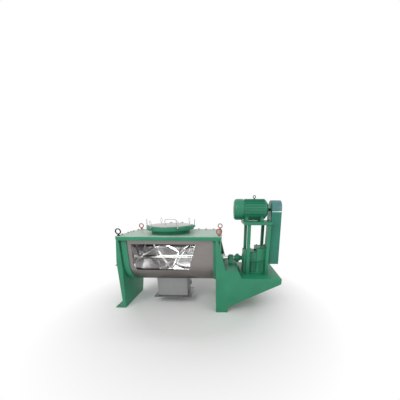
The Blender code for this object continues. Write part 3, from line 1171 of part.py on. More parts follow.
def build_outlet():
    """Make the discharge chute with its flange, and the curved flap with its lever."""
    half_length, half_width = CHUTE_LENGTH / 2, CHUTE_WIDTH / 2
    left, right = OUTLET_PLACE - half_length, OUTLET_PLACE + half_length
    chute = box("outlet_chute", (left, -half_width, OUTLET_BOTTOM),
                (right, half_width, SHAFT_HEIGHT - TROUGH_RADIUS * 3 / 4))
    flange_half = OUTLET_FLANGE_LENGTH / 2
    flange = box("flange", (OUTLET_PLACE - flange_half, -OUTLET_FLANGE_WIDTH / 2, OUTLET_BOTTOM),
                 (OUTLET_PLACE + flange_half, OUTLET_FLANGE_WIDTH / 2, OUTLET_BOTTOM + OUTLET_FLANGE))
    chute = join(chute, flange)
    bore = box("bore", (left + CHUTE_WALL, -half_width + CHUTE_WALL, OUTLET_BOTTOM - OVERRUN),
               (right - CHUTE_WALL, half_width - CHUTE_WALL, SHAFT_HEIGHT))
    shell = rod("shell", (left - OVERRUN, 0, SHAFT_HEIGHT), (right + OVERRUN, 0, SHAFT_HEIGHT),
                TROUGH_RADIUS + GAP, 2 * ARC_STEPS)
    axle = rod("axle", (left - OVERRUN, FLAP_HINGE_PLACE, FLAP_HINGE_HEIGHT),
               (right + OVERRUN, FLAP_HINGE_PLACE, FLAP_HINGE_HEIGHT),
               FLAP_BARREL + RUNNING_GAP / 2, ROUND_STEPS)
    part(cut(chute, bore, shell, axle), "brushed_steel")

    # Flap: a strip of the trough's own curve on a hinge rod, worked by a lever outside the chute
    front = math.degrees(math.asin((HOLE_FRONT - RUNNING_GAP) / TROUGH_RADIUS))
    back = math.degrees(math.asin(FLAP_BACK / TROUGH_RADIUS))
    path = arc(TROUGH_RADIUS, -90 + back, -90 - front, ARC_STEPS // 4, (0, SHAFT_HEIGHT))
    flap_left = left + CHUTE_WALL + RUNNING_GAP
    flap_right = right - CHUTE_WALL - RUNNING_GAP
    flap = sheet("outlet_flap", path, flap_left, flap_right, -SHELL_WALL, "X")
    pivot = (OUTLET_PLACE, FLAP_HINGE_PLACE, FLAP_HINGE_HEIGHT)
    lever_place = right + LEVER_OFFSET
    axle = rod("axle", (left - LEVER_OFFSET, FLAP_HINGE_PLACE, FLAP_HINGE_HEIGHT),
               (lever_place + LEVER_PLATE / 2, FLAP_HINGE_PLACE, FLAP_HINGE_HEIGHT), FLAP_BARREL)
    arms = []
    for share in FLAP_ARM_SHARES:
        place = OUTLET_PLACE + share * CHUTE_LENGTH
        top = SHAFT_HEIGHT - math.sqrt(TROUGH_RADIUS ** 2 - (FLAP_BACK - FLAP_ARM) ** 2)
        arms.append(plate("arm", [(FLAP_HINGE_PLACE, FLAP_HINGE_HEIGHT - FLAP_BARREL / 2),
                                  (FLAP_HINGE_PLACE, FLAP_HINGE_HEIGHT + FLAP_BARREL / 2),
                                  (FLAP_BACK - FLAP_ARM / 4, top + SHELL_WALL * 3 / 2),
                                  (FLAP_BACK - 2 * FLAP_ARM, top - SHELL_WALL / 2),
                                  (FLAP_BACK - 2 * FLAP_ARM, top - SHELL_WALL)],
                          place - LEVER_PLATE / 2, place + LEVER_PLATE / 2, "X"))
    lever = rod("lever", (lever_place, FLAP_HINGE_PLACE, FLAP_HINGE_HEIGHT),
                (lever_place, FLAP_HINGE_PLACE, FLAP_HINGE_HEIGHT - LEVER_LENGTH), LEVER_PLATE)
    grip = rod("grip", (lever_place, FLAP_HINGE_PLACE, FLAP_HINGE_HEIGHT - LEVER_LENGTH * 2 / 3),
               (lever_place, FLAP_HINGE_PLACE, FLAP_HINGE_HEIGHT - LEVER_LENGTH), LEVER_GRIP)
    flap = join(flap, axle, lever, grip, *arms)
    part(flap, "brushed_steel", pivot)


def main():
    """Build the whole machine."""
    build_trough()
    build_idle_leg()
    build_stand()
    bearing("idle_bearing", IDLE_BEARING_PLACE)
    bearing("drive_bearing", DRIVE_BEARING_PLACE)
    gland("idle_gland", -1)
    gland("drive_gland", 1)
    build_rotor()
    build_coupling()
    build_gearbox()
    build_table()
    build_motor()
    build_belt_drive()
    build_hatch()
    build_lifting_eyes()
    build_outlet()
    MACHINE.location = (CENTRE_SHIFT, 0, 0)


for old in list(bpy.data.objects):
    bpy.data.objects.remove(old)
PARTS = new_collection("ribbon_blender")
MACHINE = add_object("machine", None)
main()
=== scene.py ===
"""Horizontal ribbon blender: fine surfaces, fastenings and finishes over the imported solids."""
import contextlib
import functools
import json
import math

import bmesh
import bpy
from bpy.props import FloatProperty, FloatVectorProperty, PointerProperty, StringProperty
from mathutils import Matrix, Vector
from mathutils.bvhtree import BVHTree


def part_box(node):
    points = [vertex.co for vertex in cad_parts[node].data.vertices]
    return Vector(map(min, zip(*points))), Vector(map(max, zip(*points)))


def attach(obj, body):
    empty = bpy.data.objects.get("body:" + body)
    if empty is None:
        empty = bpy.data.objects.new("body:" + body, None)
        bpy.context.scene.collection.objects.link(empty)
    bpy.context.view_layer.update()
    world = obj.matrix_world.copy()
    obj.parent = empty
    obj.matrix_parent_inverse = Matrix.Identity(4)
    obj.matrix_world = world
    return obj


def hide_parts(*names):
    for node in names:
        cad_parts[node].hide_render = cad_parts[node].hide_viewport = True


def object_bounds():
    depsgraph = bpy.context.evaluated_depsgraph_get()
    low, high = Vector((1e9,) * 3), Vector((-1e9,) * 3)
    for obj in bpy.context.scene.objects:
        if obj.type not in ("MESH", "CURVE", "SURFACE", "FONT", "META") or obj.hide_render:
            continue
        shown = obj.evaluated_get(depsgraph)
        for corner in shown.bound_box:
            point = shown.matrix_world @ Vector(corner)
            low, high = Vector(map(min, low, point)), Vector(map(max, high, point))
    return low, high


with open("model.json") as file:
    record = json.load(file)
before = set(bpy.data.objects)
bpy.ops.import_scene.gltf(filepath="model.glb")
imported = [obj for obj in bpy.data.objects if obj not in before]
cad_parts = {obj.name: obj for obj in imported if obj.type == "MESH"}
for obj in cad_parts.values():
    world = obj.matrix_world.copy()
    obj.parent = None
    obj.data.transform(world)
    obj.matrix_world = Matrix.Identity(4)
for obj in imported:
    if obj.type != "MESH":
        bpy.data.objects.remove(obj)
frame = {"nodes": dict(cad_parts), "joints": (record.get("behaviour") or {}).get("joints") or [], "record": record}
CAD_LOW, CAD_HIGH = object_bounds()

bl_info = {
    "name": "Ribbon Blender Finishing",
    "version": (1, 0, 0),
    "blender": (4, 5, 0),
    "location": "3D View > Sidebar > Ribbon Blender",
    "description": "Finishes a horizontal ribbon blender: enamel, steel, fastenings and fine detail",
    "category": "Object",
}

MILLIMETRE = 0.001
MERGE = 0.00001
FLAT = math.radians(0.5)
SHARP = math.radians(35)
# Bent wire has few facets, so its corners are smoothed over a wider angle
ROUND_WIRE = math.radians(65)
# A face looks along a direction when its normal's share of it is at least this
FACING = 0.7
# Shares of a screw's width across flats
WASHER_RADIUS_SHARE = 1.02
WASHER_HEIGHT_SHARE = 0.14
HEAD_HEIGHT_SHARE = 0.62
CHAMFER_SHARE = 0.08
# No two screws stop at the same turn
BOLT_TWIST = math.radians(23)
# Shares of a weld's size
WELD_PITCH_SHARE = 0.9
WELD_LENGTH_SHARE = 0.8
# Sides and segments of the round pieces modelled here
EDGE_SEGMENTS = 2
HEXAGON = 6
WASHER_SIDES = 24
BREATHER_SIDES = 20
GRILLE_RING_SIDES = 40
WIRE_SIDES = 8
WELD_SEGMENTS = 10
WELD_RINGS = 6
# Where screws sit, as shares of a piece's length, height or width
GEARBOX_SCREWS = (0.06, 0.38, 0.62, 0.94)
GEARBOX_SCREW_REACH = 0.6
GUARD_SCREWS = (0.12, 0.36, 0.6, 0.82)
GUARD_SCREW_REACH = 0.62
FLANGE_SCREWS = (0.06, 0.28, 0.5, 0.72, 0.94)
COVER_END_SCREWS = (1 / 3, 1)
COUPLING_SCREWS = 6
# How many foot edges the leg's and the stand's screws stand in from the side
LEG_SCREW_EDGES = 1.6
WALL_SCREW_EDGES = 2
# Starts above or beside the machine, the feet and the flange, for finding a seat
CLEAR = 2.0
FOOT_START = 0.12
FLANGE_START = 0.30
DOWN = (0, 0, -1)
# Trim, in metres
GRILLE_REACH = 0.066
GRILLE_RINGS = (0.35, 0.62, 0.9)
GRILLE_BARS = 4
# Where the guard's painted reflection ends, and the size of the bright strip there that is a painted highlight
PAINTED_LIGHT_DROP = 0.175
HIGHLIGHT_STRIP_HEIGHT = 0.010
HIGHLIGHT_STRIP_DEPTH = 0.003
HIGHLIGHT_STRIP_EDGE_SHARE = 1 / 3
BREATHER_RADIUS = 0.016
# Each step of the breather: how far it is set in and how far it rises, as shares of the radius
BREATHER_STEPS = ((0.3, 0.5), (0.2, 0.15))
BREATHER_EDGE_SHARE = 0.08
CHUTE_FLANGE = 0.012
CHUTE_LIP = 0.070
# The trough's lining is pale up to this height over the shaft and painted dark above it: painted shade under the
# cover
SHADED_BAND_RISE = 0.105
# Noise cells per metre, and how much finer detail each noise holds
PATCHES = (3.3, 5.0)
CHIPS = (42.0, 8.0)
PEEL = (165.0, 2.0)
CLOUDS = (4.5, 6.0)
# Cells per metre across and along a brushed sheet's scratches
LINE_SCALE = 520.0
LINE_LENGTH_SCALE = 6.0
ALONG_SHAFT = (LINE_LENGTH_SCALE, LINE_SCALE, LINE_SCALE)
ALONG_HEIGHT = (LINE_SCALE, LINE_SCALE, LINE_LENGTH_SCALE)
LINE_DETAIL = 4.0
GRAIN_DETAIL = 6.0
# Levels that a noise value mostly keeps between
NOISE_LOW, NOISE_HIGH = 0.3, 0.7
# Tones, as shares of a finish's colour
PATCH_TONES = (0.88, 1.10)
STREAK_TONES = (0.86, 1.12)
GRAIN_TONES = (0.75, 1.2)
CHIP_TONE = 0.45
STAIN_TONE = 0.72
STAIN_SHARE = 0.3
CHIP_START, CHIP_END = 0.70, 0.73
CHIP_ROUGHNESS = 0.7
PEEL_DEPTH = 0.10
# How far the roughness wanders down and up
ENAMEL_SHEEN = (-0.05, 0.08)
BRUSHED_SHEEN = (-0.07, 0.10)
GRAIN_SHEEN = (-0.08, 0.08)
FLOOR_ROUGHNESS = 0.9
FLOOR_SHINE = 0.1


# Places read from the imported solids

def low(node):
    """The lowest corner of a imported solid."""
    return Vector(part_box(node)[0])


def high(node):
    """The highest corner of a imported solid."""
    return Vector(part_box(node)[1])


def centre(node):
    """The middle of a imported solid's box."""
    return (low(node) + high(node)) / 2


def joint_place(name):
    """The point on a joint's axis."""
    return Vector(next(joint["pos_m"] for joint in frame["joints"] if joint["name"] == name))


SHAFT_AXIS = joint_place("rotor_spin")
MOTOR_AXIS = joint_place("motor_spin")
CLAMPS = ["hatch_clamp_%d" % number for number in range(1, 7)]
CORNER_EYES = ["lifting_eye_%d" % number for number in range(1, 5)]
POSTS = ["motor_post_%d" % number for number in range(1, 5)]
RIBBONS = ["outer_ribbon_left_a", "outer_ribbon_left_b", "outer_ribbon_right_a", "outer_ribbon_right_b",
           "inner_ribbon_a", "inner_ribbon_b"]


# Settings

def colour_setting(label, use, value):
    """A colour, as an sRGB hex value."""
    return StringProperty(name=label, description=use, default=value)


def length_setting(label, use, value, **limits):
    """A length in metres."""
    return FloatProperty(name=label, description=use, default=value, unit="LENGTH", **limits)


def edge_setting(label, use, value):
    """The radius of a piece's rounded edges."""
    return length_setting(label, use, value, min=0.0)


class FinishSettings(bpy.types.PropertyGroup):
    """Colours of the machine's finishes, as sRGB hex values."""
    frame_green: colour_setting("Frame green", "Enamel of the stand, leg and rim", "#2B8A67")
    motor_green: colour_setting("Motor green", "Enamel of the motor", "#2A8A6A")
    guard_green: colour_setting("Guard green", "Enamel of the belt guard", "#1F7F69")
    # Guard blue is a painted reflection on the guard's upper panel
    guard_reflection_blue: colour_setting("Guard blue", "Upper panel of the belt guard", "#4C8484")
    # Cover green is the frame's green painted pale, a painted sheen for glare on the cover's top
    cover_sheen_green: colour_setting("Cover green", "Pale enamel of the cover", "#A9C6B4")
    sheet_steel: colour_setting("Sheet steel", "Brushed sheet of the trough", "#8E8886")
    chute_steel: colour_setting("Chute steel", "Folded sheet of the chute", "#8E8F8F")
    # Lining steel is pale partly from its polish and partly as painted light in the dim trough; the dull lining's
    # dark colour is painted shade under the cover
    lining_steel: colour_setting("Lining steel", "Polished inside of the trough", "#D6D5D6")
    shaded_lining: colour_setting("Dull lining", "Upper band of the trough's inside", "#4A4848")
    lid_steel: colour_setting("Lid steel", "Brushed lid, clamps and handle", "#B9BAB9")
    bright_steel: colour_setting("Bright steel", "Polished ribbons, shaft and glands", "#EDEDEB")
    black_steel: colour_setting("Black steel", "Blackened forgings", "#2A2326")
    zinc_steel: colour_setting("Zinc steel", "Plated screws", "#9DA09C")
    red_paint: colour_setting("Red paint", "Weathered lifting eyes", "#B4574E")
    belt_rubber: colour_setting("Belt rubber", "Drive belts", "#1E1E1E")
    silicone: colour_setting("Silicone", "Gasket of the hatch", "#E6E2DA")


class FastenerSettings(bpy.types.PropertyGroup):
    """Sizes of the screws and welds."""
    cover_bolt: length_setting("Cover bolt", "Width across flats of the cover's and gearbox's bolts", 0.019,
                               min=0.005, max=0.05)
    foot_bolt: length_setting("Foot bolt", "Width across flats of the foot bolts", 0.024, min=0.005, max=0.06)
    small_bolt: length_setting("Small bolt", "Width across flats of the guard, coupling and flange screws",
                               0.012, min=0.004, max=0.03)
    cover_pitch: length_setting("Cover bolt spacing", "Distance between the cover's bolts", 0.13,
                                min=0.05, max=0.4)
    weld: length_setting("Weld size", "Radius of the fillet welds", 0.004, min=0.001, max=0.012)


class StageSettings(bpy.types.PropertyGroup):
    """Floor, lamps and camera."""
    lens: FloatProperty(name="Lens", description="Focal length in millimetres", default=16.0,
                        min=10.0, max=80.0)
    shift: FloatVectorProperty(name="Shift", description="Share of the frame by which the picture is moved, "
                               "because the machine stands low in the photograph",
                               default=(-0.0458, 0.1365), size=2)
    camera_place: FloatVectorProperty(name="Camera place", description="Where the camera stands",
                                      default=(0.461, -2.986, 1.688), subtype="TRANSLATION", unit="LENGTH")
    camera_tilt: FloatProperty(name="Tilt", description="How far the camera looks down",
                               default=math.radians(15.42), subtype="ANGLE", unit="ROTATION")
    camera_turn: FloatProperty(name="Turn", description="How far the camera looks to the idle end",
                               default=math.radians(1.61), subtype="ANGLE", unit="ROTATION")
    floor_colour: colour_setting("Floor", "Colour of the floor", "#F8F8F7")
    key_place: FloatVectorProperty(name="Key lamp place", description="Where the large front lamp stands",
                                   default=(-2.6, -4.6, 4.6), subtype="TRANSLATION", unit="LENGTH")
    key_size: length_setting("Key lamp size", "Side of the large front lamp", 3.6)
    key_power: FloatProperty(name="Key lamp", description="Power of the large front lamp in watts",
                             default=135.0)
    fill_place: FloatVectorProperty(name="Fill lamp place", description="Where the side lamp stands",
                                    default=(4.2, -3.0, 3.2), subtype="TRANSLATION", unit="LENGTH")
    fill_size: length_setting("Fill lamp size", "Side of the side lamp", 3.0)
    fill_power: FloatProperty(name="Fill lamp", description="Power of the side lamp in watts", default=40.0)
    inside_power: FloatProperty(name="Inside lamp", description="Power of the lamp in the trough in watts",
                                default=6.0)
    ambient: FloatProperty(name="Ambient", description="Level of the light from all round", default=0.50)


# Modelling helpers

def deselect_all():
    """Clear the selection, so that an operator acts on the new piece alone."""
    bpy.ops.object.select_all(action="DESELECT")


def activate(piece, *others):
    """Select a piece, and any others with it, and make it the active one."""
    deselect_all()
    for other in others:
        other.select_set(True)
    piece.select_set(True)
    bpy.context.view_layer.objects.active = piece


@contextlib.contextmanager
def editing(piece):
    """Edit mode on one piece, with nothing selected at the start."""
    activate(piece)
    bpy.ops.object.mode_set(mode="EDIT")
    bpy.ops.mesh.select_all(action="DESELECT")
    yield
    bpy.ops.object.mode_set(mode="OBJECT")


def choose_faces(piece, test):
    """Select the faces that pass a test, and nothing else."""
    bpy.ops.mesh.select_all(action="DESELECT")
    bpy.ops.mesh.select_mode(type="FACE")
    mesh = bmesh.from_edit_mesh(piece.data)
    for face in mesh.faces:
        face.select_set(test(face))
    mesh.select_flush_mode()
    bmesh.update_edit_mesh(piece.data)


def apply_modifier(piece, kind, **settings):
    """Add a modifier, set it and apply it."""
    activate(piece)
    modifier = piece.modifiers.new(kind.title(), kind)
    for key, value in settings.items():
        setattr(modifier, key, value)
    bpy.ops.object.modifier_apply(modifier=modifier.name)


def round_edges(piece, width):
    """Round every sharp edge of a piece."""
    apply_modifier(piece, "BEVEL", width=width, segments=EDGE_SEGMENTS, limit_method="ANGLE",
                   angle_limit=SHARP)


def settle(piece, name, body, material, slot, *nodes, smooth=SHARP):
    """Finish a piece: name, place in its mesh, shading, material, body and the solids it stands for. The slot is
    not used.
    """
    activate(piece)
    bpy.ops.object.transform_apply(location=True, rotation=True, scale=True)
    bpy.ops.object.shade_smooth_by_angle(angle=smooth)
    piece.name = name
    piece.data.name = name
    piece.data.materials.clear()
    piece.data.materials.append(material)
    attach(piece, body)
    if nodes:
        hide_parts(*nodes)
    return piece


def merged_copy(node):
    """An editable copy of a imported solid, with its loose triangles joined into flat faces."""
    piece = bpy.data.objects.new(node + "_copy", frame["nodes"][node].data.copy())
    bpy.context.scene.collection.objects.link(piece)
    activate(piece)
    bpy.ops.mesh.customdata_custom_splitnormals_clear()
    with editing(piece):
        bpy.ops.mesh.select_all(action="SELECT")
        bpy.ops.mesh.remove_doubles(threshold=MERGE)
        bpy.ops.mesh.dissolve_limited(angle_limit=FLAT)
    return piece


def body_of(node):
    """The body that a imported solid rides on."""
    return next(body for body, nodes in frame["record"]["behaviour"]["bodies"].items() if node in nodes)


def slot_of(node):
    """The record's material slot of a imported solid."""
    return next(part["material_slot"] for part in frame["record"]["subparts"] if part["node"] == node)


def split_level(piece, height):
    """Cut a piece's faces at a height, so that a finish can end there."""
    with editing(piece):
        bpy.ops.mesh.select_all(action="SELECT")
        bpy.ops.mesh.bisect(plane_co=(0, 0, height), plane_no=(0, 0, 1))


def second_finish(piece, material, test):
    """Give another material to the faces that pass a test."""
    piece.data.materials.append(material)
    piece.active_material_index = len(piece.data.materials) - 1
    with editing(piece):
        choose_faces(piece, test)
        bpy.ops.object.material_slot_assign()


def dress(node, material, width=0.0, smooth=SHARP):
    """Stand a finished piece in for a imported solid, with rounded edges where a width is given."""
    piece = merged_copy(node)
    if width:
        round_edges(piece, width)
    return settle(piece, node + "_finished", body_of(node), material, slot_of(node), node, smooth=smooth)


# Fastenings and welds, each modelled once and copied to its seats

@functools.lru_cache(maxsize=None)
def surface_of(node):
    """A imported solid's surface, for finding where something seats on it."""
    mesh = frame["nodes"][node].data
    return BVHTree.FromPolygons([corner.co for corner in mesh.vertices],
                                [face.vertices for face in mesh.polygons])


def seat(node, start, direction):
    """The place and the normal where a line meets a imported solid."""
    place, normal, _, _ = surface_of(node).ray_cast(Vector(start), Vector(direction))
    if place is None:
        raise RuntimeError("nothing of %s is met from %s" % (node, tuple(start)))
    return place, normal


def seats(node, starts, direction):
    """The seats on a solid that lie along one direction from each start."""
    return [seat(node, start, direction) for start in starts]


def raise_selected(height):
    """Extrude the selected faces upwards."""
    bpy.ops.mesh.extrude_region_move(TRANSFORM_OT_translate={"value": (0, 0, height)})


def face_outwards():
    """Turn every normal of the edited mesh to the outside."""
    bpy.ops.mesh.select_all(action="SELECT")
    bpy.ops.mesh.normals_make_consistent(inside=False)


def make_bolt(flats):
    """A hex screw with a chamfered head on its washer, standing at the origin."""
    washer, head, chamfer = flats * WASHER_HEIGHT_SHARE, flats * HEAD_HEIGHT_SHARE, flats * CHAMFER_SHARE
    deselect_all()
    bpy.ops.mesh.primitive_circle_add(vertices=WASHER_SIDES, radius=flats * WASHER_RADIUS_SHARE,
                                      fill_type="NGON")
    bolt = bpy.context.active_object
    with editing(bolt):
        bpy.ops.mesh.select_mode(type="FACE")
        bpy.ops.mesh.select_all(action="SELECT")
        raise_selected(washer)
        bpy.ops.mesh.select_all(action="DESELECT")
        bpy.ops.mesh.primitive_circle_add(vertices=HEXAGON, radius=flats / math.sqrt(3), fill_type="NGON",
                                          location=(0, 0, washer))
        raise_selected(head)
        bpy.ops.mesh.inset(thickness=chamfer)
        bpy.ops.transform.translate(value=(0, 0, chamfer / 2))
        face_outwards()
    return bolt


def scatter(master, name, places, body, material, slot):
    """Copy a modelled piece to each seat, square to the surface, and join the copies into one group."""
    copies = []
    for number, (place, normal) in enumerate(places):
        piece = master.copy()
        piece.data = master.data.copy()
        bpy.context.scene.collection.objects.link(piece)
        piece.location = place
        upright = normal.to_track_quat("Z", "Y").to_matrix()
        piece.rotation_euler = (upright @ Matrix.Rotation(number * BOLT_TWIST, 3, "Z")).to_euler()
        copies.append(piece)
    activate(copies[0], *copies[1:])
    if len(copies) > 1:
        bpy.ops.object.join()
    return settle(copies[0], name, body, material, slot)


def drop(master):
    """Delete a piece that was only there to be copied."""
    bpy.data.objects.remove(master, do_unlink=True)


def weld(name, start, end, size, body, material, slot):
    """A fillet weld: overlapping scales along a line, drawn from one modelled scale."""
    start, end = Vector(start), Vector(end)
    deselect_all()
    bpy.ops.mesh.primitive_uv_sphere_add(segments=WELD_SEGMENTS, ring_count=WELD_RINGS, radius=size)
    bead = bpy.context.active_object
    pitch = size * WELD_PITCH_SHARE
    with editing(bead):
        bpy.ops.mesh.select_all(action="SELECT")
        bpy.ops.transform.resize(value=(WELD_LENGTH_SHARE, 1, 1))
    apply_modifier(bead, "ARRAY", use_relative_offset=False, use_constant_offset=True,
                   constant_offset_displace=(pitch, 0, 0), count=max(2, int((end - start).length / pitch)))
    bead.location = start
    bead.rotation_euler = (end - start).to_track_quat("X", "Z").to_euler()
    return settle(bead, name, body, material, slot)


# Finishes

def linear(hex_colour):
    """Turn an sRGB hex colour into linear red, green, blue and alpha."""
    channels = [int(hex_colour[i:i + 2], 16) / 255 for i in (1, 3, 5)]
    return [c / 12.92 if c <= 0.04045 else ((c + 0.055) / 1.055) ** 2.4 for c in channels] + [1.0]


def add_node(tree, kind, inputs=None, **settings):
    """Add a node with its settings, and give each named input a value or a link."""
    node = tree.nodes.new(kind)
    for key, value in settings.items():
        setattr(node, key, value)
    for key, value in (inputs or {}).items():
        if isinstance(value, bpy.types.NodeSocket):
            tree.links.new(value, node.inputs[key])
        else:
            node.inputs[key].default_value = value
    return node


def new_finish(name):
    """Start a material with one Principled surface, and give its tree, surface and Object coordinates."""
    material = bpy.data.materials.new(name)
    material.use_nodes = True
    tree = material.node_tree
    surface = next(node for node in tree.nodes if node.type == "BSDF_PRINCIPLED")
    place = add_node(tree, "ShaderNodeTexCoord").outputs["Object"]
    return material, tree, surface, place


def stretch(tree, value, value_start, value_end, start=0.0, end=1.0):
    """Turn one range of a value into another."""
    inputs = {"Value": value, "From Min": value_start, "From Max": value_end, "To Min": start, "To Max": end}
    return add_node(tree, "ShaderNodeMapRange", inputs).outputs["Result"]


def spread(tree, value, start, end):
    """Stretch a noise value between two levels."""
    return stretch(tree, value, NOISE_LOW, NOISE_HIGH, start, end)


def blend_colours(tree, factor, first, second):
    """Mix two colours by a factor."""
    return add_node(tree, "ShaderNodeMix", {0: factor, 6: first, 7: second}, data_type="RGBA").outputs[2]


def noise(tree, place, scale, detail, **more):
    """A noise value over the piece."""
    inputs = {"Vector": place, "Scale": scale, "Detail": detail, **more}
    return add_node(tree, "ShaderNodeTexNoise", inputs).outputs["Fac"]


def combine(tree, operation, first, second):
    """Work out one value from two."""
    return add_node(tree, "ShaderNodeMath", {0: first, 1: second}, operation=operation).outputs[0]


def seen_rays(tree, *kinds):
    """Whether a ray is of each kind, for what is seen but doesn't light the machine."""
    path = add_node(tree, "ShaderNodeLightPath")
    return [path.outputs[kind] for kind in kinds]


def shade(base, share):
    """A lighter or darker tone of a colour."""
    return (*(base * share), 1)


def two_tones(tree, value, base, tones):
    """A colour that wanders between two tones of its own."""
    return blend_colours(tree, spread(tree, value, 0.0, 1.0), shade(base, tones[0]), shade(base, tones[1]))


def wire_surface(tree, surface, colour, sheen, height, strength, distance):
    """Link a finish's colour, roughness and bump to its surface."""
    tree.links.new(colour, surface.inputs["Base Color"])
    tree.links.new(sheen, surface.inputs["Roughness"])
    bump = add_node(tree, "ShaderNodeBump", {"Height": height, "Strength": strength, "Distance": distance})
    tree.links.new(bump.outputs["Normal"], surface.inputs["Normal"])


def wander(tree, value, roughness, sheen):
    """A roughness that a noise value moves down and up."""
    return spread(tree, value, roughness + sheen[0], roughness + sheen[1])


def enamel(name, colour, roughness, wear=0.5):
    """Sprayed machine enamel: faint orange peel, soft patches of tone, and chips where it was knocked."""
    material, tree, surface, place = new_finish(name)
    base = Vector(linear(colour)[:3])
    # Patches about 300 mm across, where the coat is thicker or dusty
    patches = noise(tree, place, *PATCHES)
    tone = two_tones(tree, patches, base, PATCH_TONES)
    # Sparse chips down to a darker primer
    chips = noise(tree, place, *CHIPS, Roughness=CHIP_ROUGHNESS)
    chipped = stretch(tree, chips, CHIP_START, CHIP_END, 0.0, wear)
    worn = blend_colours(tree, chipped, tone, shade(base, CHIP_TONE))
    # Orange peel of about 2 mm, drawn at 6 mm so that it shows
    peel = noise(tree, place, *PEEL)
    sheen = wander(tree, patches, roughness, ENAMEL_SHEEN)
    wire_surface(tree, surface, worn, sheen, peel, PEEL_DEPTH, MILLIMETRE)
    return material


def brushed(name, colour, roughness, direction=ALONG_SHAFT, depth=0.25):
    """Stainless sheet brushed along one direction: long fine scratches that stretch the reflections."""
    material, tree, surface, place = new_finish(name)
    base = Vector(linear(colour)[:3])
    # Scratches 0.3 mm apart, drawn at 2 mm so that they show
    stretched = add_node(tree, "ShaderNodeMapping", {"Vector": place, "Scale": direction}).outputs["Vector"]
    lines = noise(tree, stretched, 1.0, LINE_DETAIL)
    # Stains about 200 mm across, where the sheet was handled
    clouds = noise(tree, place, *CLOUDS)
    streaks = two_tones(tree, lines, base, STREAK_TONES)
    stained = blend_colours(tree, spread(tree, clouds, 0.0, STAIN_SHARE), streaks, shade(base, STAIN_TONE))
    surface.inputs["Metallic"].default_value = 1.0
    sheen = wander(tree, lines, roughness, BRUSHED_SHEEN)
    wire_surface(tree, surface, stained, sheen, lines, depth, MILLIMETRE / 2)
    return material


def cast(name, colour, roughness, metallic, grain, depth):
    """A matte skin with a fine grain, for forgings, plated screws, rubber and silicone."""
    material, tree, surface, place = new_finish(name)
    base = Vector(linear(colour)[:3])
    grains = noise(tree, place, grain, GRAIN_DETAIL)
    surface.inputs["Metallic"].default_value = metallic
    tone = two_tones(tree, grains, base, GRAIN_TONES)
    wire_surface(tree, surface, tone, wander(tree, grains, roughness, GRAIN_SHEEN), grains, depth, MILLIMETRE)
    return material


FINISHES = {}


def finish(name):
    """One of the machine's finishes, made when it is first asked for."""
    if name in FINISHES:
        return FINISHES[name]
    colours = bpy.context.scene.ribbon_finish
    makers = {
        # Two-part enamel on steel plate: even colour, soft gloss
        "green_enamel": (enamel, colours.frame_green, {"roughness": 0.40}),
        # The same paint over castings, a little darker and glossier
        "motor_enamel": (enamel, colours.motor_green, {"roughness": 0.34}),
        # Guard sheet, bluer and glossier
        "guard_enamel": (enamel, colours.guard_green, {"roughness": 0.30, "wear": 0.3}),
        # The guard's upper panel, given a blue-grey colour that paints the reflection on it, and the glossiest
        "guard_painted_reflection": (enamel, colours.guard_reflection_blue, {"roughness": 0.26, "wear": 0.2}),
        # Cover plate: the green enamel painted paler, a painted sheen for the glare on its top
        "cover_enamel": (enamel, colours.cover_sheen_green, {"roughness": 0.36, "wear": 0.3}),
        # Brush-painted forgings, weathered
        "red_enamel": (enamel, colours.red_paint, {"roughness": 0.45, "wear": 0.8}),
        # Rolled stainless sheet, brushed along the trough
        "trough_steel": (brushed, colours.sheet_steel, {"roughness": 0.42}),
        # Folded stainless sheet of the chute, brushed upright
        "chute_steel": (brushed, colours.chute_steel, {"roughness": 0.46, "direction": ALONG_HEIGHT}),
        # Inside of the trough, polished so that powder slides off, and kept pale as painted light in the dim
        # trough
        "lining_steel": (brushed, colours.lining_steel, {"roughness": 0.34, "depth": 0.12}),
        # The lining's upper band, painted dark: painted shade under the cover
        "shaded_lining": (brushed, colours.shaded_lining, {"roughness": 0.55, "depth": 0.12}),
        # Polished bars of the rotor, nearly white where they catch the light
        "bright_steel": (brushed, colours.bright_steel, {"roughness": 0.26, "depth": 0.1}),
        # Lid, handle and clamps, a shade darker, so that their rims read against the light
        "lid_steel": (brushed, colours.lid_steel, {"roughness": 0.30, "depth": 0.1}),
        # Blackened forgings and pulleys
        "black_oxide": (cast, colours.black_steel,
                        {"roughness": 0.48, "metallic": 0.6, "grain": 90.0, "depth": 0.2}),
        # Zinc-plated screws, dulled
        "zinc_steel": (cast, colours.zinc_steel,
                       {"roughness": 0.38, "metallic": 1.0, "grain": 120.0, "depth": 0.1}),
        # Belt rubber, dry and matte
        "belt_rubber": (cast, colours.belt_rubber,
                        {"roughness": 0.80, "metallic": 0.0, "grain": 200.0, "depth": 0.3}),
        # White silicone of the gasket
        "silicone": (cast, colours.silicone,
                     {"roughness": 0.70, "metallic": 0.0, "grain": 60.0, "depth": 0.05}),
    }
    maker, colour, numbers = makers[name]
    FINISHES[name] = maker(name, colour, **numbers)
    return FINISHES[name]


class Step:
    """What every operator here shares."""
    bl_options = {"REGISTER", "UNDO"}


class RIBBON_OT_steelwork(Step, bpy.types.Operator):
    """Finish the leg, stand, rim, bands, posts and table, all folded or welded from plate"""
    bl_idname = "ribbon.steelwork"
    bl_label = "Steelwork"

    plate_edge: edge_setting("Plate edge", "Radius of a plate's edges", 0.0016)

    def execute(self, context):
        for node in ("idle_leg", "stand_front_plate", "stand_back_plate", "stand_cross_wall", "stand_deck",
                     "trough_rim", "idle_end_band", "drive_end_band", "motor_table", *POSTS):
            dress(node, finish("green_enamel"), self.plate_edge)
        return {"FINISHED"}


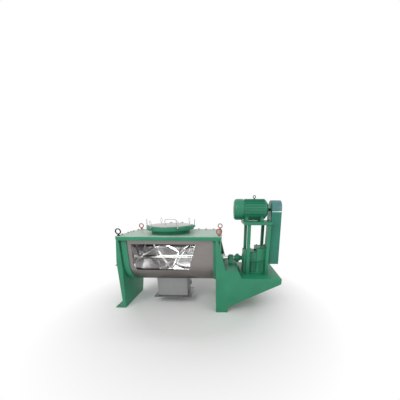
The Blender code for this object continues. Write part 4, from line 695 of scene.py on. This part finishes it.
class RIBBON_OT_trough(Step, bpy.types.Operator):
    """Finish the shell, its end plates and the cover"""
    bl_idname = "ribbon.trough"
    bl_label = "Trough and Cover"

    sheet_edge: edge_setting("Sheet edge", "Radius of the sheet's edges", 0.001)

    def execute(self, context):
        shell = dress("trough_shell", finish("trough_steel"), self.sheet_edge)
        # Above this height the inside is painted dark, a painted shade under the cover
        polished = SHAFT_AXIS.z + SHADED_BAND_RISE
        split_level(shell, polished)
        second_finish(shell, finish("lining_steel"), self.faces_the_shaft)
        second_finish(shell, finish("shaded_lining"), lambda face: self.faces_the_shaft(face)
                      and face.calc_center_median().z > polished)
        idle = dress("idle_end_plate", finish("trough_steel"), self.sheet_edge)
        second_finish(idle, finish("lining_steel"), lambda face: face.normal.x > FACING)
        drive = dress("drive_end_plate", finish("trough_steel"), self.sheet_edge)
        second_finish(drive, finish("lining_steel"), lambda face: face.normal.x < -FACING)
        # The cover's top is painted pale, a painted sheen
        cover = dress("cover_plate", finish("cover_enamel"), self.sheet_edge)
        second_finish(cover, finish("trough_steel"), lambda face: face.normal.z < -FACING)
        return {"FINISHED"}

    @staticmethod
    def faces_the_shaft(face):
        """Whether a face of the shell is on its inside."""
        inward = SHAFT_AXIS - face.calc_center_median()
        inward.x = 0
        inward.z = min(inward.z, 0) if face.calc_center_median().z > SHAFT_AXIS.z else inward.z
        return face.normal.dot(inward.normalized()) > FACING


class RIBBON_OT_hatch(Step, bpy.types.Operator):
    """Finish the hatch neck, gasket, lid and handle"""
    bl_idname = "ribbon.hatch"
    bl_label = "Hatch"

    neck_edge: edge_setting("Neck edge", "Radius of the neck's and gasket's edges", 0.001)
    lid_edge: edge_setting("Lid edge", "Radius of the lid's edges", 0.0012)

    def execute(self, context):
        neck = dress("hatch_neck", finish("green_enamel"), self.neck_edge)
        second_finish(neck, finish("trough_steel"), self.faces_inwards)
        dress("hatch_gasket", finish("silicone"), self.neck_edge)
        dress("hatch_lid", finish("lid_steel"), self.lid_edge)
        dress("lid_handle", finish("lid_steel"), smooth=ROUND_WIRE)
        return {"FINISHED"}

    @staticmethod
    def faces_inwards(face):
        """Whether a face of the neck is on its inside, which is bare steel."""
        inward = centre("hatch_gasket") - face.calc_center_median()
        inward.z = 0
        return face.normal.dot(inward.normalized()) > FACING


class RIBBON_OT_rotor(Step, bpy.types.Operator):
    """Finish the shaft, the ribbons and the end scrapers"""
    bl_idname = "ribbon.rotor"
    bl_label = "Rotor"

    bar_edge: edge_setting("Bar edge", "Radius of a bar's edges", 0.0014)

    def execute(self, context):
        dress("main_shaft", finish("bright_steel"), self.bar_edge)
        for node in RIBBONS:
            dress(node, finish("bright_steel"), self.bar_edge)
        for node in ("end_scraper_idle", "end_scraper_drive"):
            dress(node, finish("trough_steel"), self.bar_edge)
        return {"FINISHED"}


class RIBBON_OT_drive(Step, bpy.types.Operator):
    """Finish the bearings, glands, coupling, gearbox, motor and belt drive"""
    bl_idname = "ribbon.drive"
    bl_label = "Drive Train"

    casting_edge: edge_setting("Casting edge", "Radius of a casting's edges", 0.003)
    gland_edge: edge_setting("Gland edge", "Radius of a gland's edges", 0.0012)
    motor_edge: edge_setting("Motor edge", "Radius of the motor's edges", 0.0015)
    guard_edge: edge_setting("Guard edge", "Radius of the guard's edges", 0.0012)
    pulley_edge: edge_setting("Pulley edge", "Radius of the pulleys' and belts' edges", 0.001)

    def execute(self, context):
        for node in ("idle_bearing", "drive_bearing", "coupling_blender_half", "coupling_gearbox_half",
                     "gearbox_case"):
            dress(node, finish("green_enamel"), self.casting_edge)
        for node in ("idle_gland", "drive_gland"):
            dress(node, finish("bright_steel"), self.gland_edge)
        for node in ("motor_frame", "motor_fan_cowl", "motor_terminal_box"):
            dress(node, finish("motor_enamel"), self.motor_edge)
        # Above this level the guard's faces take a blue-grey painted reflection
        panel = high("belt_guard").z - PAINTED_LIGHT_DROP
        for node in ("belt_guard", "belt_guard_face"):
            guard = dress(node, finish("guard_enamel"), self.guard_edge)
            split_level(guard, panel)
            second_finish(guard, finish("guard_painted_reflection"), lambda face: face.calc_center_median().z > panel)
        dress("belt_guard_back", finish("guard_enamel"), self.guard_edge)
        for node in ("motor_pulley", "gearbox_pulley"):
            dress(node, finish("black_oxide"), self.pulley_edge)
        for node in ("v_belt_1", "v_belt_2"):
            dress(node, finish("belt_rubber"), self.pulley_edge)
        return {"FINISHED"}


class RIBBON_OT_small_parts(Step, bpy.types.Operator):
    """Finish the clamps, the lifting eyes, the chute and its flap"""
    bl_idname = "ribbon.small_parts"
    bl_label = "Clamps, Eyes and Outlet"

    chute_edge: edge_setting("Chute edge", "Radius of the chute's and flap's edges", 0.001)

    def execute(self, context):
        for node in CLAMPS:
            dress(node, finish("lid_steel"), smooth=ROUND_WIRE)
        for number, node in enumerate(CORNER_EYES):
            dress(node, finish("red_enamel" if number else "black_oxide"), smooth=ROUND_WIRE)
        dress("motor_lifting_eye", finish("black_oxide"), smooth=ROUND_WIRE)
        for node in ("outlet_chute", "outlet_flap"):
            dress(node, finish("chute_steel"), self.chute_edge)
        return {"FINISHED"}


class RIBBON_OT_fastenings(Step, bpy.types.Operator):
    """Add the hex screws of the cover, feet, gearbox, guard, coupling and chute flange"""
    bl_idname = "ribbon.fastenings"
    bl_label = "Fastenings"

    edge: length_setting("Cover edge", "From the cover's edge to its screws", 0.024)
    foot_edge: length_setting("Foot edge", "From a foot's end to its screws", 0.07)
    coupling_edge: length_setting("Coupling edge", "From the coupling's rim to its screws", 0.017)

    def execute(self, context):
        sizes = context.scene.ribbon_fasteners
        cover, foot, small = sizes.cover_bolt, sizes.foot_bolt, sizes.small_bolt
        self.place(cover, "cover_screws", "cover_plate", self.cover_starts(sizes.cover_pitch), DOWN)
        self.place(foot, "leg_foot_screws", "idle_leg",
                   self.foot_starts("idle_leg", self.edge, LEG_SCREW_EDGES), DOWN)
        self.place(foot, "stand_foot_screws", "stand_cross_wall",
                   self.foot_starts("stand_cross_wall", self.foot_edge, WALL_SCREW_EDGES), DOWN)
        self.place(cover, "gearbox_screws", "gearbox_case", self.gearbox_starts(), DOWN)
        self.place(small, "guard_screws", "belt_guard_face", self.guard_starts(), (-1, 0, 0))
        self.place(small, "coupling_screws", "coupling_blender_half", self.coupling_starts(), (1, 0, 0))
        self.place(small, "flange_screws", "outlet_chute", self.flange_starts(), DOWN)
        return {"FINISHED"}

    def foot_starts(self, node, inset, edges):
        """Two places over a foot, each the same number of foot edges in from its side."""
        x = low(node).x + inset
        return [(x, side * (high(node).y - self.foot_edge * edges), FOOT_START) for side in (-1, 1)]

    @staticmethod
    def gearbox_starts():
        """Places over the two long sides of the gearbox."""
        box_low, box_high = low("gearbox_case"), high("gearbox_case")
        return [(box_low.x + (box_high.x - box_low.x) * share, side * box_high.y * GEARBOX_SCREW_REACH, CLEAR)
                for share in GEARBOX_SCREWS for side in (-1, 1)]

    @staticmethod
    def guard_starts():
        """Places beside the two edges of the guard's outer plate."""
        guard_low, guard_high = low("belt_guard"), high("belt_guard")
        heights = [guard_low.z + (guard_high.z - guard_low.z) * share for share in GUARD_SCREWS]
        return [(CLEAR, side * guard_high.y * GUARD_SCREW_REACH, height) for height in heights
                for side in (-1, 1)]

    def coupling_starts(self):
        """Places on a circle in front of the coupling's face."""
        reach = high("coupling_blender_half").z - SHAFT_AXIS.z - self.coupling_edge
        front = low("drive_end_plate").x
        angles = [math.tau * number / COUPLING_SCREWS for number in range(COUPLING_SCREWS)]
        return [(front, SHAFT_AXIS.y + reach * math.cos(angle), SHAFT_AXIS.z + reach * math.sin(angle))
                for angle in angles]

    def flange_starts(self):
        """Places along the two long sides of the chute's flange."""
        corner_low, corner_high = low("outlet_chute"), high("outlet_chute")
        length = corner_high.x - corner_low.x
        sides = (corner_low.y + self.edge, corner_high.y - self.edge)
        return [(corner_low.x + length * share, y, FLANGE_START) for share in FLANGE_SCREWS for y in sides]

    def place(self, flats, name, node, starts, direction):
        """Put screws of one size on a solid."""
        bolt = make_bolt(flats)
        scatter(bolt, name, seats(node, starts, direction), body_of(node), finish("zinc_steel"),
                "stainless_bright")
        drop(bolt)

    def cover_starts(self, pitch):
        """Places along the cover's two ends and its back edge, clear of the lifting eyes."""
        corner_low, corner_high = low("cover_plate"), high("cover_plate")
        left, right, back = corner_low.x + self.edge, corner_high.x - self.edge, corner_high.y - self.edge
        reach = back - pitch
        along_ends = [side * reach * share for side in (-1, 1) for share in COVER_END_SCREWS]
        starts = [(x, y, CLEAR) for x in (left, right) for y in (*along_ends, 0)]
        count = int((right - left) / pitch)
        step = (right - left) / count
        starts += [(left + step * number, back, CLEAR) for number in range(1, count)]
        return starts


class RIBBON_OT_trim(Step, bpy.types.Operator):
    """Add the cowl's grille, the guard's bright strip of painted highlight and the gearbox's breather"""
    bl_idname = "ribbon.trim"
    bl_label = "Trim"

    wire: length_setting("Grille wire", "Radius of the cowl grille's wire", 0.0022)

    def execute(self, context):
        self.grille()
        self.guard_highlight_strip()
        self.breather()
        return {"FINISHED"}

    def grille(self):
        """Rings and bars over the fan's air intake, joined into one grille."""
        face = low("motor_fan_cowl").x
        hub = Vector((face + self.wire, MOTOR_AXIS.y, MOTOR_AXIS.z))
        wires = []
        for share in GRILLE_RINGS:
            deselect_all()
            bpy.ops.mesh.primitive_torus_add(major_radius=GRILLE_REACH * share, minor_radius=self.wire,
                                             major_segments=GRILLE_RING_SIDES, minor_segments=WIRE_SIDES,
                                             location=hub, rotation=(0, math.pi / 2, 0))
            wires.append(bpy.context.active_object)
        for number in range(GRILLE_BARS):
            deselect_all()
            bpy.ops.mesh.primitive_cylinder_add(vertices=WIRE_SIDES, radius=self.wire, depth=2 * GRILLE_REACH,
                                                location=hub,
                                                rotation=(number * math.pi / GRILLE_BARS, 0, 0))
            wires.append(bpy.context.active_object)
        activate(wires[0], *wires[1:])
        bpy.ops.object.join()
        settle(wires[0], "cowl_grille", "frame", finish("black_oxide"), "black_oxide")

    def guard_highlight_strip(self):
        """A bright steel strip on the guard's front side, under its blue-grey painted reflection: a painted
        highlight line.
        """
        middle = centre("belt_guard").x
        height = high("belt_guard").z - PAINTED_LIGHT_DROP
        place, normal = seat("belt_guard", (middle, -CLEAR, height), (0, 1, 0))
        width = high("belt_guard").x - low("belt_guard").x
        deselect_all()
        bpy.ops.mesh.primitive_plane_add(size=1)
        highlight_strip = bpy.context.active_object
        with editing(highlight_strip):
            bpy.ops.mesh.select_mode(type="FACE")
            bpy.ops.mesh.select_all(action="SELECT")
            bpy.ops.transform.resize(value=(width, HIGHLIGHT_STRIP_HEIGHT, 1), center_override=(0, 0, 0))
            raise_selected(HIGHLIGHT_STRIP_DEPTH)
            face_outwards()
        round_edges(highlight_strip, HIGHLIGHT_STRIP_DEPTH * HIGHLIGHT_STRIP_EDGE_SHARE)
        highlight_strip.location = place
        highlight_strip.rotation_euler = normal.to_track_quat("Z", "Y").to_euler()
        # The bright strip is a painted highlight line on the guard
        settle(highlight_strip, "guard_highlight_strip", "frame", finish("bright_steel"), "stainless_bright")

    def breather(self):
        """A stepped breather cap on the gearbox's top."""
        top, _ = seat("gearbox_case", (centre("gearbox_case").x, 0, CLEAR), DOWN)
        deselect_all()
        bpy.ops.mesh.primitive_circle_add(vertices=BREATHER_SIDES, radius=BREATHER_RADIUS, fill_type="NGON",
                                          location=top)
        cap = bpy.context.active_object
        with editing(cap):
            bpy.ops.mesh.select_mode(type="FACE")
            bpy.ops.mesh.select_all(action="SELECT")
            raise_selected(BREATHER_RADIUS)
            for inset, rise in BREATHER_STEPS:
                bpy.ops.mesh.inset(thickness=BREATHER_RADIUS * inset)
                raise_selected(BREATHER_RADIUS * rise)
            face_outwards()
        round_edges(cap, BREATHER_RADIUS * BREATHER_EDGE_SHARE)
        settle(cap, "gearbox_breather", "frame", finish("black_oxide"), "black_oxide")


class RIBBON_OT_welds(Step, bpy.types.Operator):
    """Lay the fillet welds where plates meet"""
    bl_idname = "ribbon.welds"
    bl_label = "Welds"

    def execute(self, context):
        size = context.scene.ribbon_fasteners.weld
        green = finish("green_enamel")
        for number, node in enumerate(POSTS, 1):
            post_low, post_high = low(node), high(node)
            floor = post_low.z + size
            weld("post_weld_%d" % number, (post_low.x, post_low.y, floor), (post_high.x, post_low.y, floor),
                 size, "frame", green, "green_enamel")
        chute_low, chute_high = low("outlet_chute"), high("outlet_chute")
        flange = chute_low.z + CHUTE_FLANGE
        throat_low, throat_high = chute_low.x + CHUTE_LIP, chute_high.x - CHUTE_LIP
        weld("chute_weld", (throat_low, chute_low.y + CHUTE_LIP, flange),
             (throat_high, chute_low.y + CHUTE_LIP, flange), size, "frame", finish("chute_steel"),
             "stainless_brushed")
        return {"FINISHED"}


class RIBBON_OT_stage(Step, bpy.types.Operator):
    """Set the floor, the lamps, the world and the camera"""
    bl_idname = "ribbon.stage"
    bl_label = "Studio Stage"

    floor_reach: length_setting("Floor reach", "Half the width of the floor", 40.0)
    fade_start: length_setting("Fade start", "Where the floor starts to fade to white", 1.0)
    fade_end: length_setting("Fade end", "Where the floor is white", 2.3)
    inside_inset: length_setting("Inside lamp inset", "From the back wall to the lamp under the cover", 0.22)
    inside_drop: length_setting("Inside lamp drop", "From the cover down to the lamp in the trough", 0.04)
    inside_length: length_setting("Inside lamp length", "Along the trough", 0.9)
    inside_depth: length_setting("Inside lamp depth", "Across the trough", 0.16)

    def execute(self, context):
        settings = context.scene.ribbon_stage
        self.make_floor(settings)
        self.make_world(context, settings)
        self.make_lamp("key_lamp", settings.key_place, settings.key_size, settings.key_power)
        self.make_lamp("fill_lamp", settings.fill_place, settings.fill_size, settings.fill_power)
        middle = centre("trough_shell").x
        inside = Vector((middle, high("trough_shell").y - self.inside_inset,
                         low("cover_plate").z - self.inside_drop))
        aim = Vector((middle, high("trough_shell").y, low("trough_shell").z))
        self.make_lamp("inside_lamp", inside, self.inside_length, settings.inside_power, aim,
                       self.inside_depth)
        camera = bpy.data.objects.new("photo_camera", bpy.data.cameras.new("photo_camera"))
        context.scene.collection.objects.link(camera)
        camera.data.lens = settings.lens
        camera.data.shift_x, camera.data.shift_y = settings.shift
        camera.location = settings.camera_place
        camera.rotation_euler = (math.pi / 2 - settings.camera_tilt, 0, settings.camera_turn)
        context.scene.camera = camera
        context.scene.view_settings.view_transform = "Standard"
        return {"FINISHED"}

    def make_floor(self, settings):
        """A pale floor that keeps the object's shadow and fades to white further out."""
        deselect_all()
        bpy.ops.mesh.primitive_plane_add(size=2 * self.floor_reach, location=(0, 0, 0))
        floor = bpy.context.active_object
        floor.name = "studio_floor"
        material, tree, surface, place = new_finish("pale_floor")
        surface.inputs["Base Color"].default_value = linear(settings.floor_colour)
        surface.inputs["Roughness"].default_value = FLOOR_ROUGHNESS
        surface.inputs["Specular IOR Level"].default_value = FLOOR_SHINE
        distance = add_node(tree, "ShaderNodeVectorMath", {0: place}, operation="LENGTH").outputs["Value"]
        far = stretch(tree, distance, self.fade_start, self.fade_end)
        seen = combine(tree, "MAXIMUM", *seen_rays(tree, "Is Camera Ray", "Is Glossy Ray"))
        factor = combine(tree, "MULTIPLY", far, seen)
        white = add_node(tree, "ShaderNodeEmission", {"Color": (1, 1, 1, 1), "Strength": 1.0}).outputs[0]
        output = next(node for node in tree.nodes if node.type == "OUTPUT_MATERIAL")
        mixed = add_node(tree, "ShaderNodeMixShader", {0: factor, 1: surface.outputs[0], 2: white}).outputs[0]
        tree.links.new(mixed, output.inputs["Surface"])
        floor.data.materials.append(material)

    def make_world(self, context, settings):
        """White where it is seen, also in metal, and a plain level of light from all round."""
        world = bpy.data.worlds.new("studio_world")
        context.scene.world = world
        world.use_nodes = True
        tree = world.node_tree
        background = next(node for node in tree.nodes if node.type == "BACKGROUND")
        camera, glossy, through = seen_rays(tree, "Is Camera Ray", "Is Glossy Ray", "Is Transmission Ray")
        seen = combine(tree, "MAXIMUM", combine(tree, "MAXIMUM", camera, glossy), through)
        level = stretch(tree, seen, 0.0, 1.0, settings.ambient, 1.0)
        background.inputs["Color"].default_value = (1, 1, 1, 1)
        tree.links.new(level, background.inputs["Strength"])

    def make_lamp(self, name, place, size, power, target=None, depth=None):
        """A soft lamp, square unless a depth is given, that faces a target or the middle of the machine."""
        lamp = bpy.data.lights.new(name, "AREA")
        lamp.shape = "RECTANGLE"
        lamp.size, lamp.size_y = size, depth or size
        lamp.energy = power
        obj = bpy.data.objects.new(name, lamp)
        bpy.context.scene.collection.objects.link(obj)
        obj.visible_camera = False
        aim = ((CAD_LOW + CAD_HIGH) / 2 if target is None else target) - Vector(place)
        obj.location = place
        obj.rotation_euler = aim.to_track_quat("-Z", "Y").to_euler()


STEPS = (RIBBON_OT_steelwork, RIBBON_OT_trough, RIBBON_OT_hatch, RIBBON_OT_rotor, RIBBON_OT_drive,
         RIBBON_OT_small_parts, RIBBON_OT_fastenings, RIBBON_OT_trim, RIBBON_OT_welds, RIBBON_OT_stage)


class RIBBON_PT_panel(bpy.types.Panel):
    """Lists the steps in the order they are used"""
    bl_idname = "RIBBON_PT_panel"
    bl_label = "Ribbon Blender"
    bl_space_type = "VIEW_3D"
    bl_region_type = "UI"
    bl_category = "Ribbon Blender"

    def draw(self, context):
        for step in STEPS:
            self.layout.operator(step.bl_idname)


CLASSES = (FinishSettings, FastenerSettings, StageSettings, *STEPS, RIBBON_PT_panel)


def register():
    """Register the classes and the settings."""
    for cls in CLASSES:
        bpy.utils.register_class(cls)
    bpy.types.Scene.ribbon_finish = PointerProperty(type=FinishSettings)
    bpy.types.Scene.ribbon_fasteners = PointerProperty(type=FastenerSettings)
    bpy.types.Scene.ribbon_stage = PointerProperty(type=StageSettings)


def unregister():
    """Take the settings and classes away again."""
    del bpy.types.Scene.ribbon_stage
    del bpy.types.Scene.ribbon_fasteners
    del bpy.types.Scene.ribbon_finish
    for cls in reversed(CLASSES):
        bpy.utils.unregister_class(cls)


def main():
    """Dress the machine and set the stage."""
    register()
    for step in STEPS:
        group, name = step.bl_idname.split(".")
        getattr(getattr(bpy.ops, group), name)()


if __name__ == "__main__":
    main()
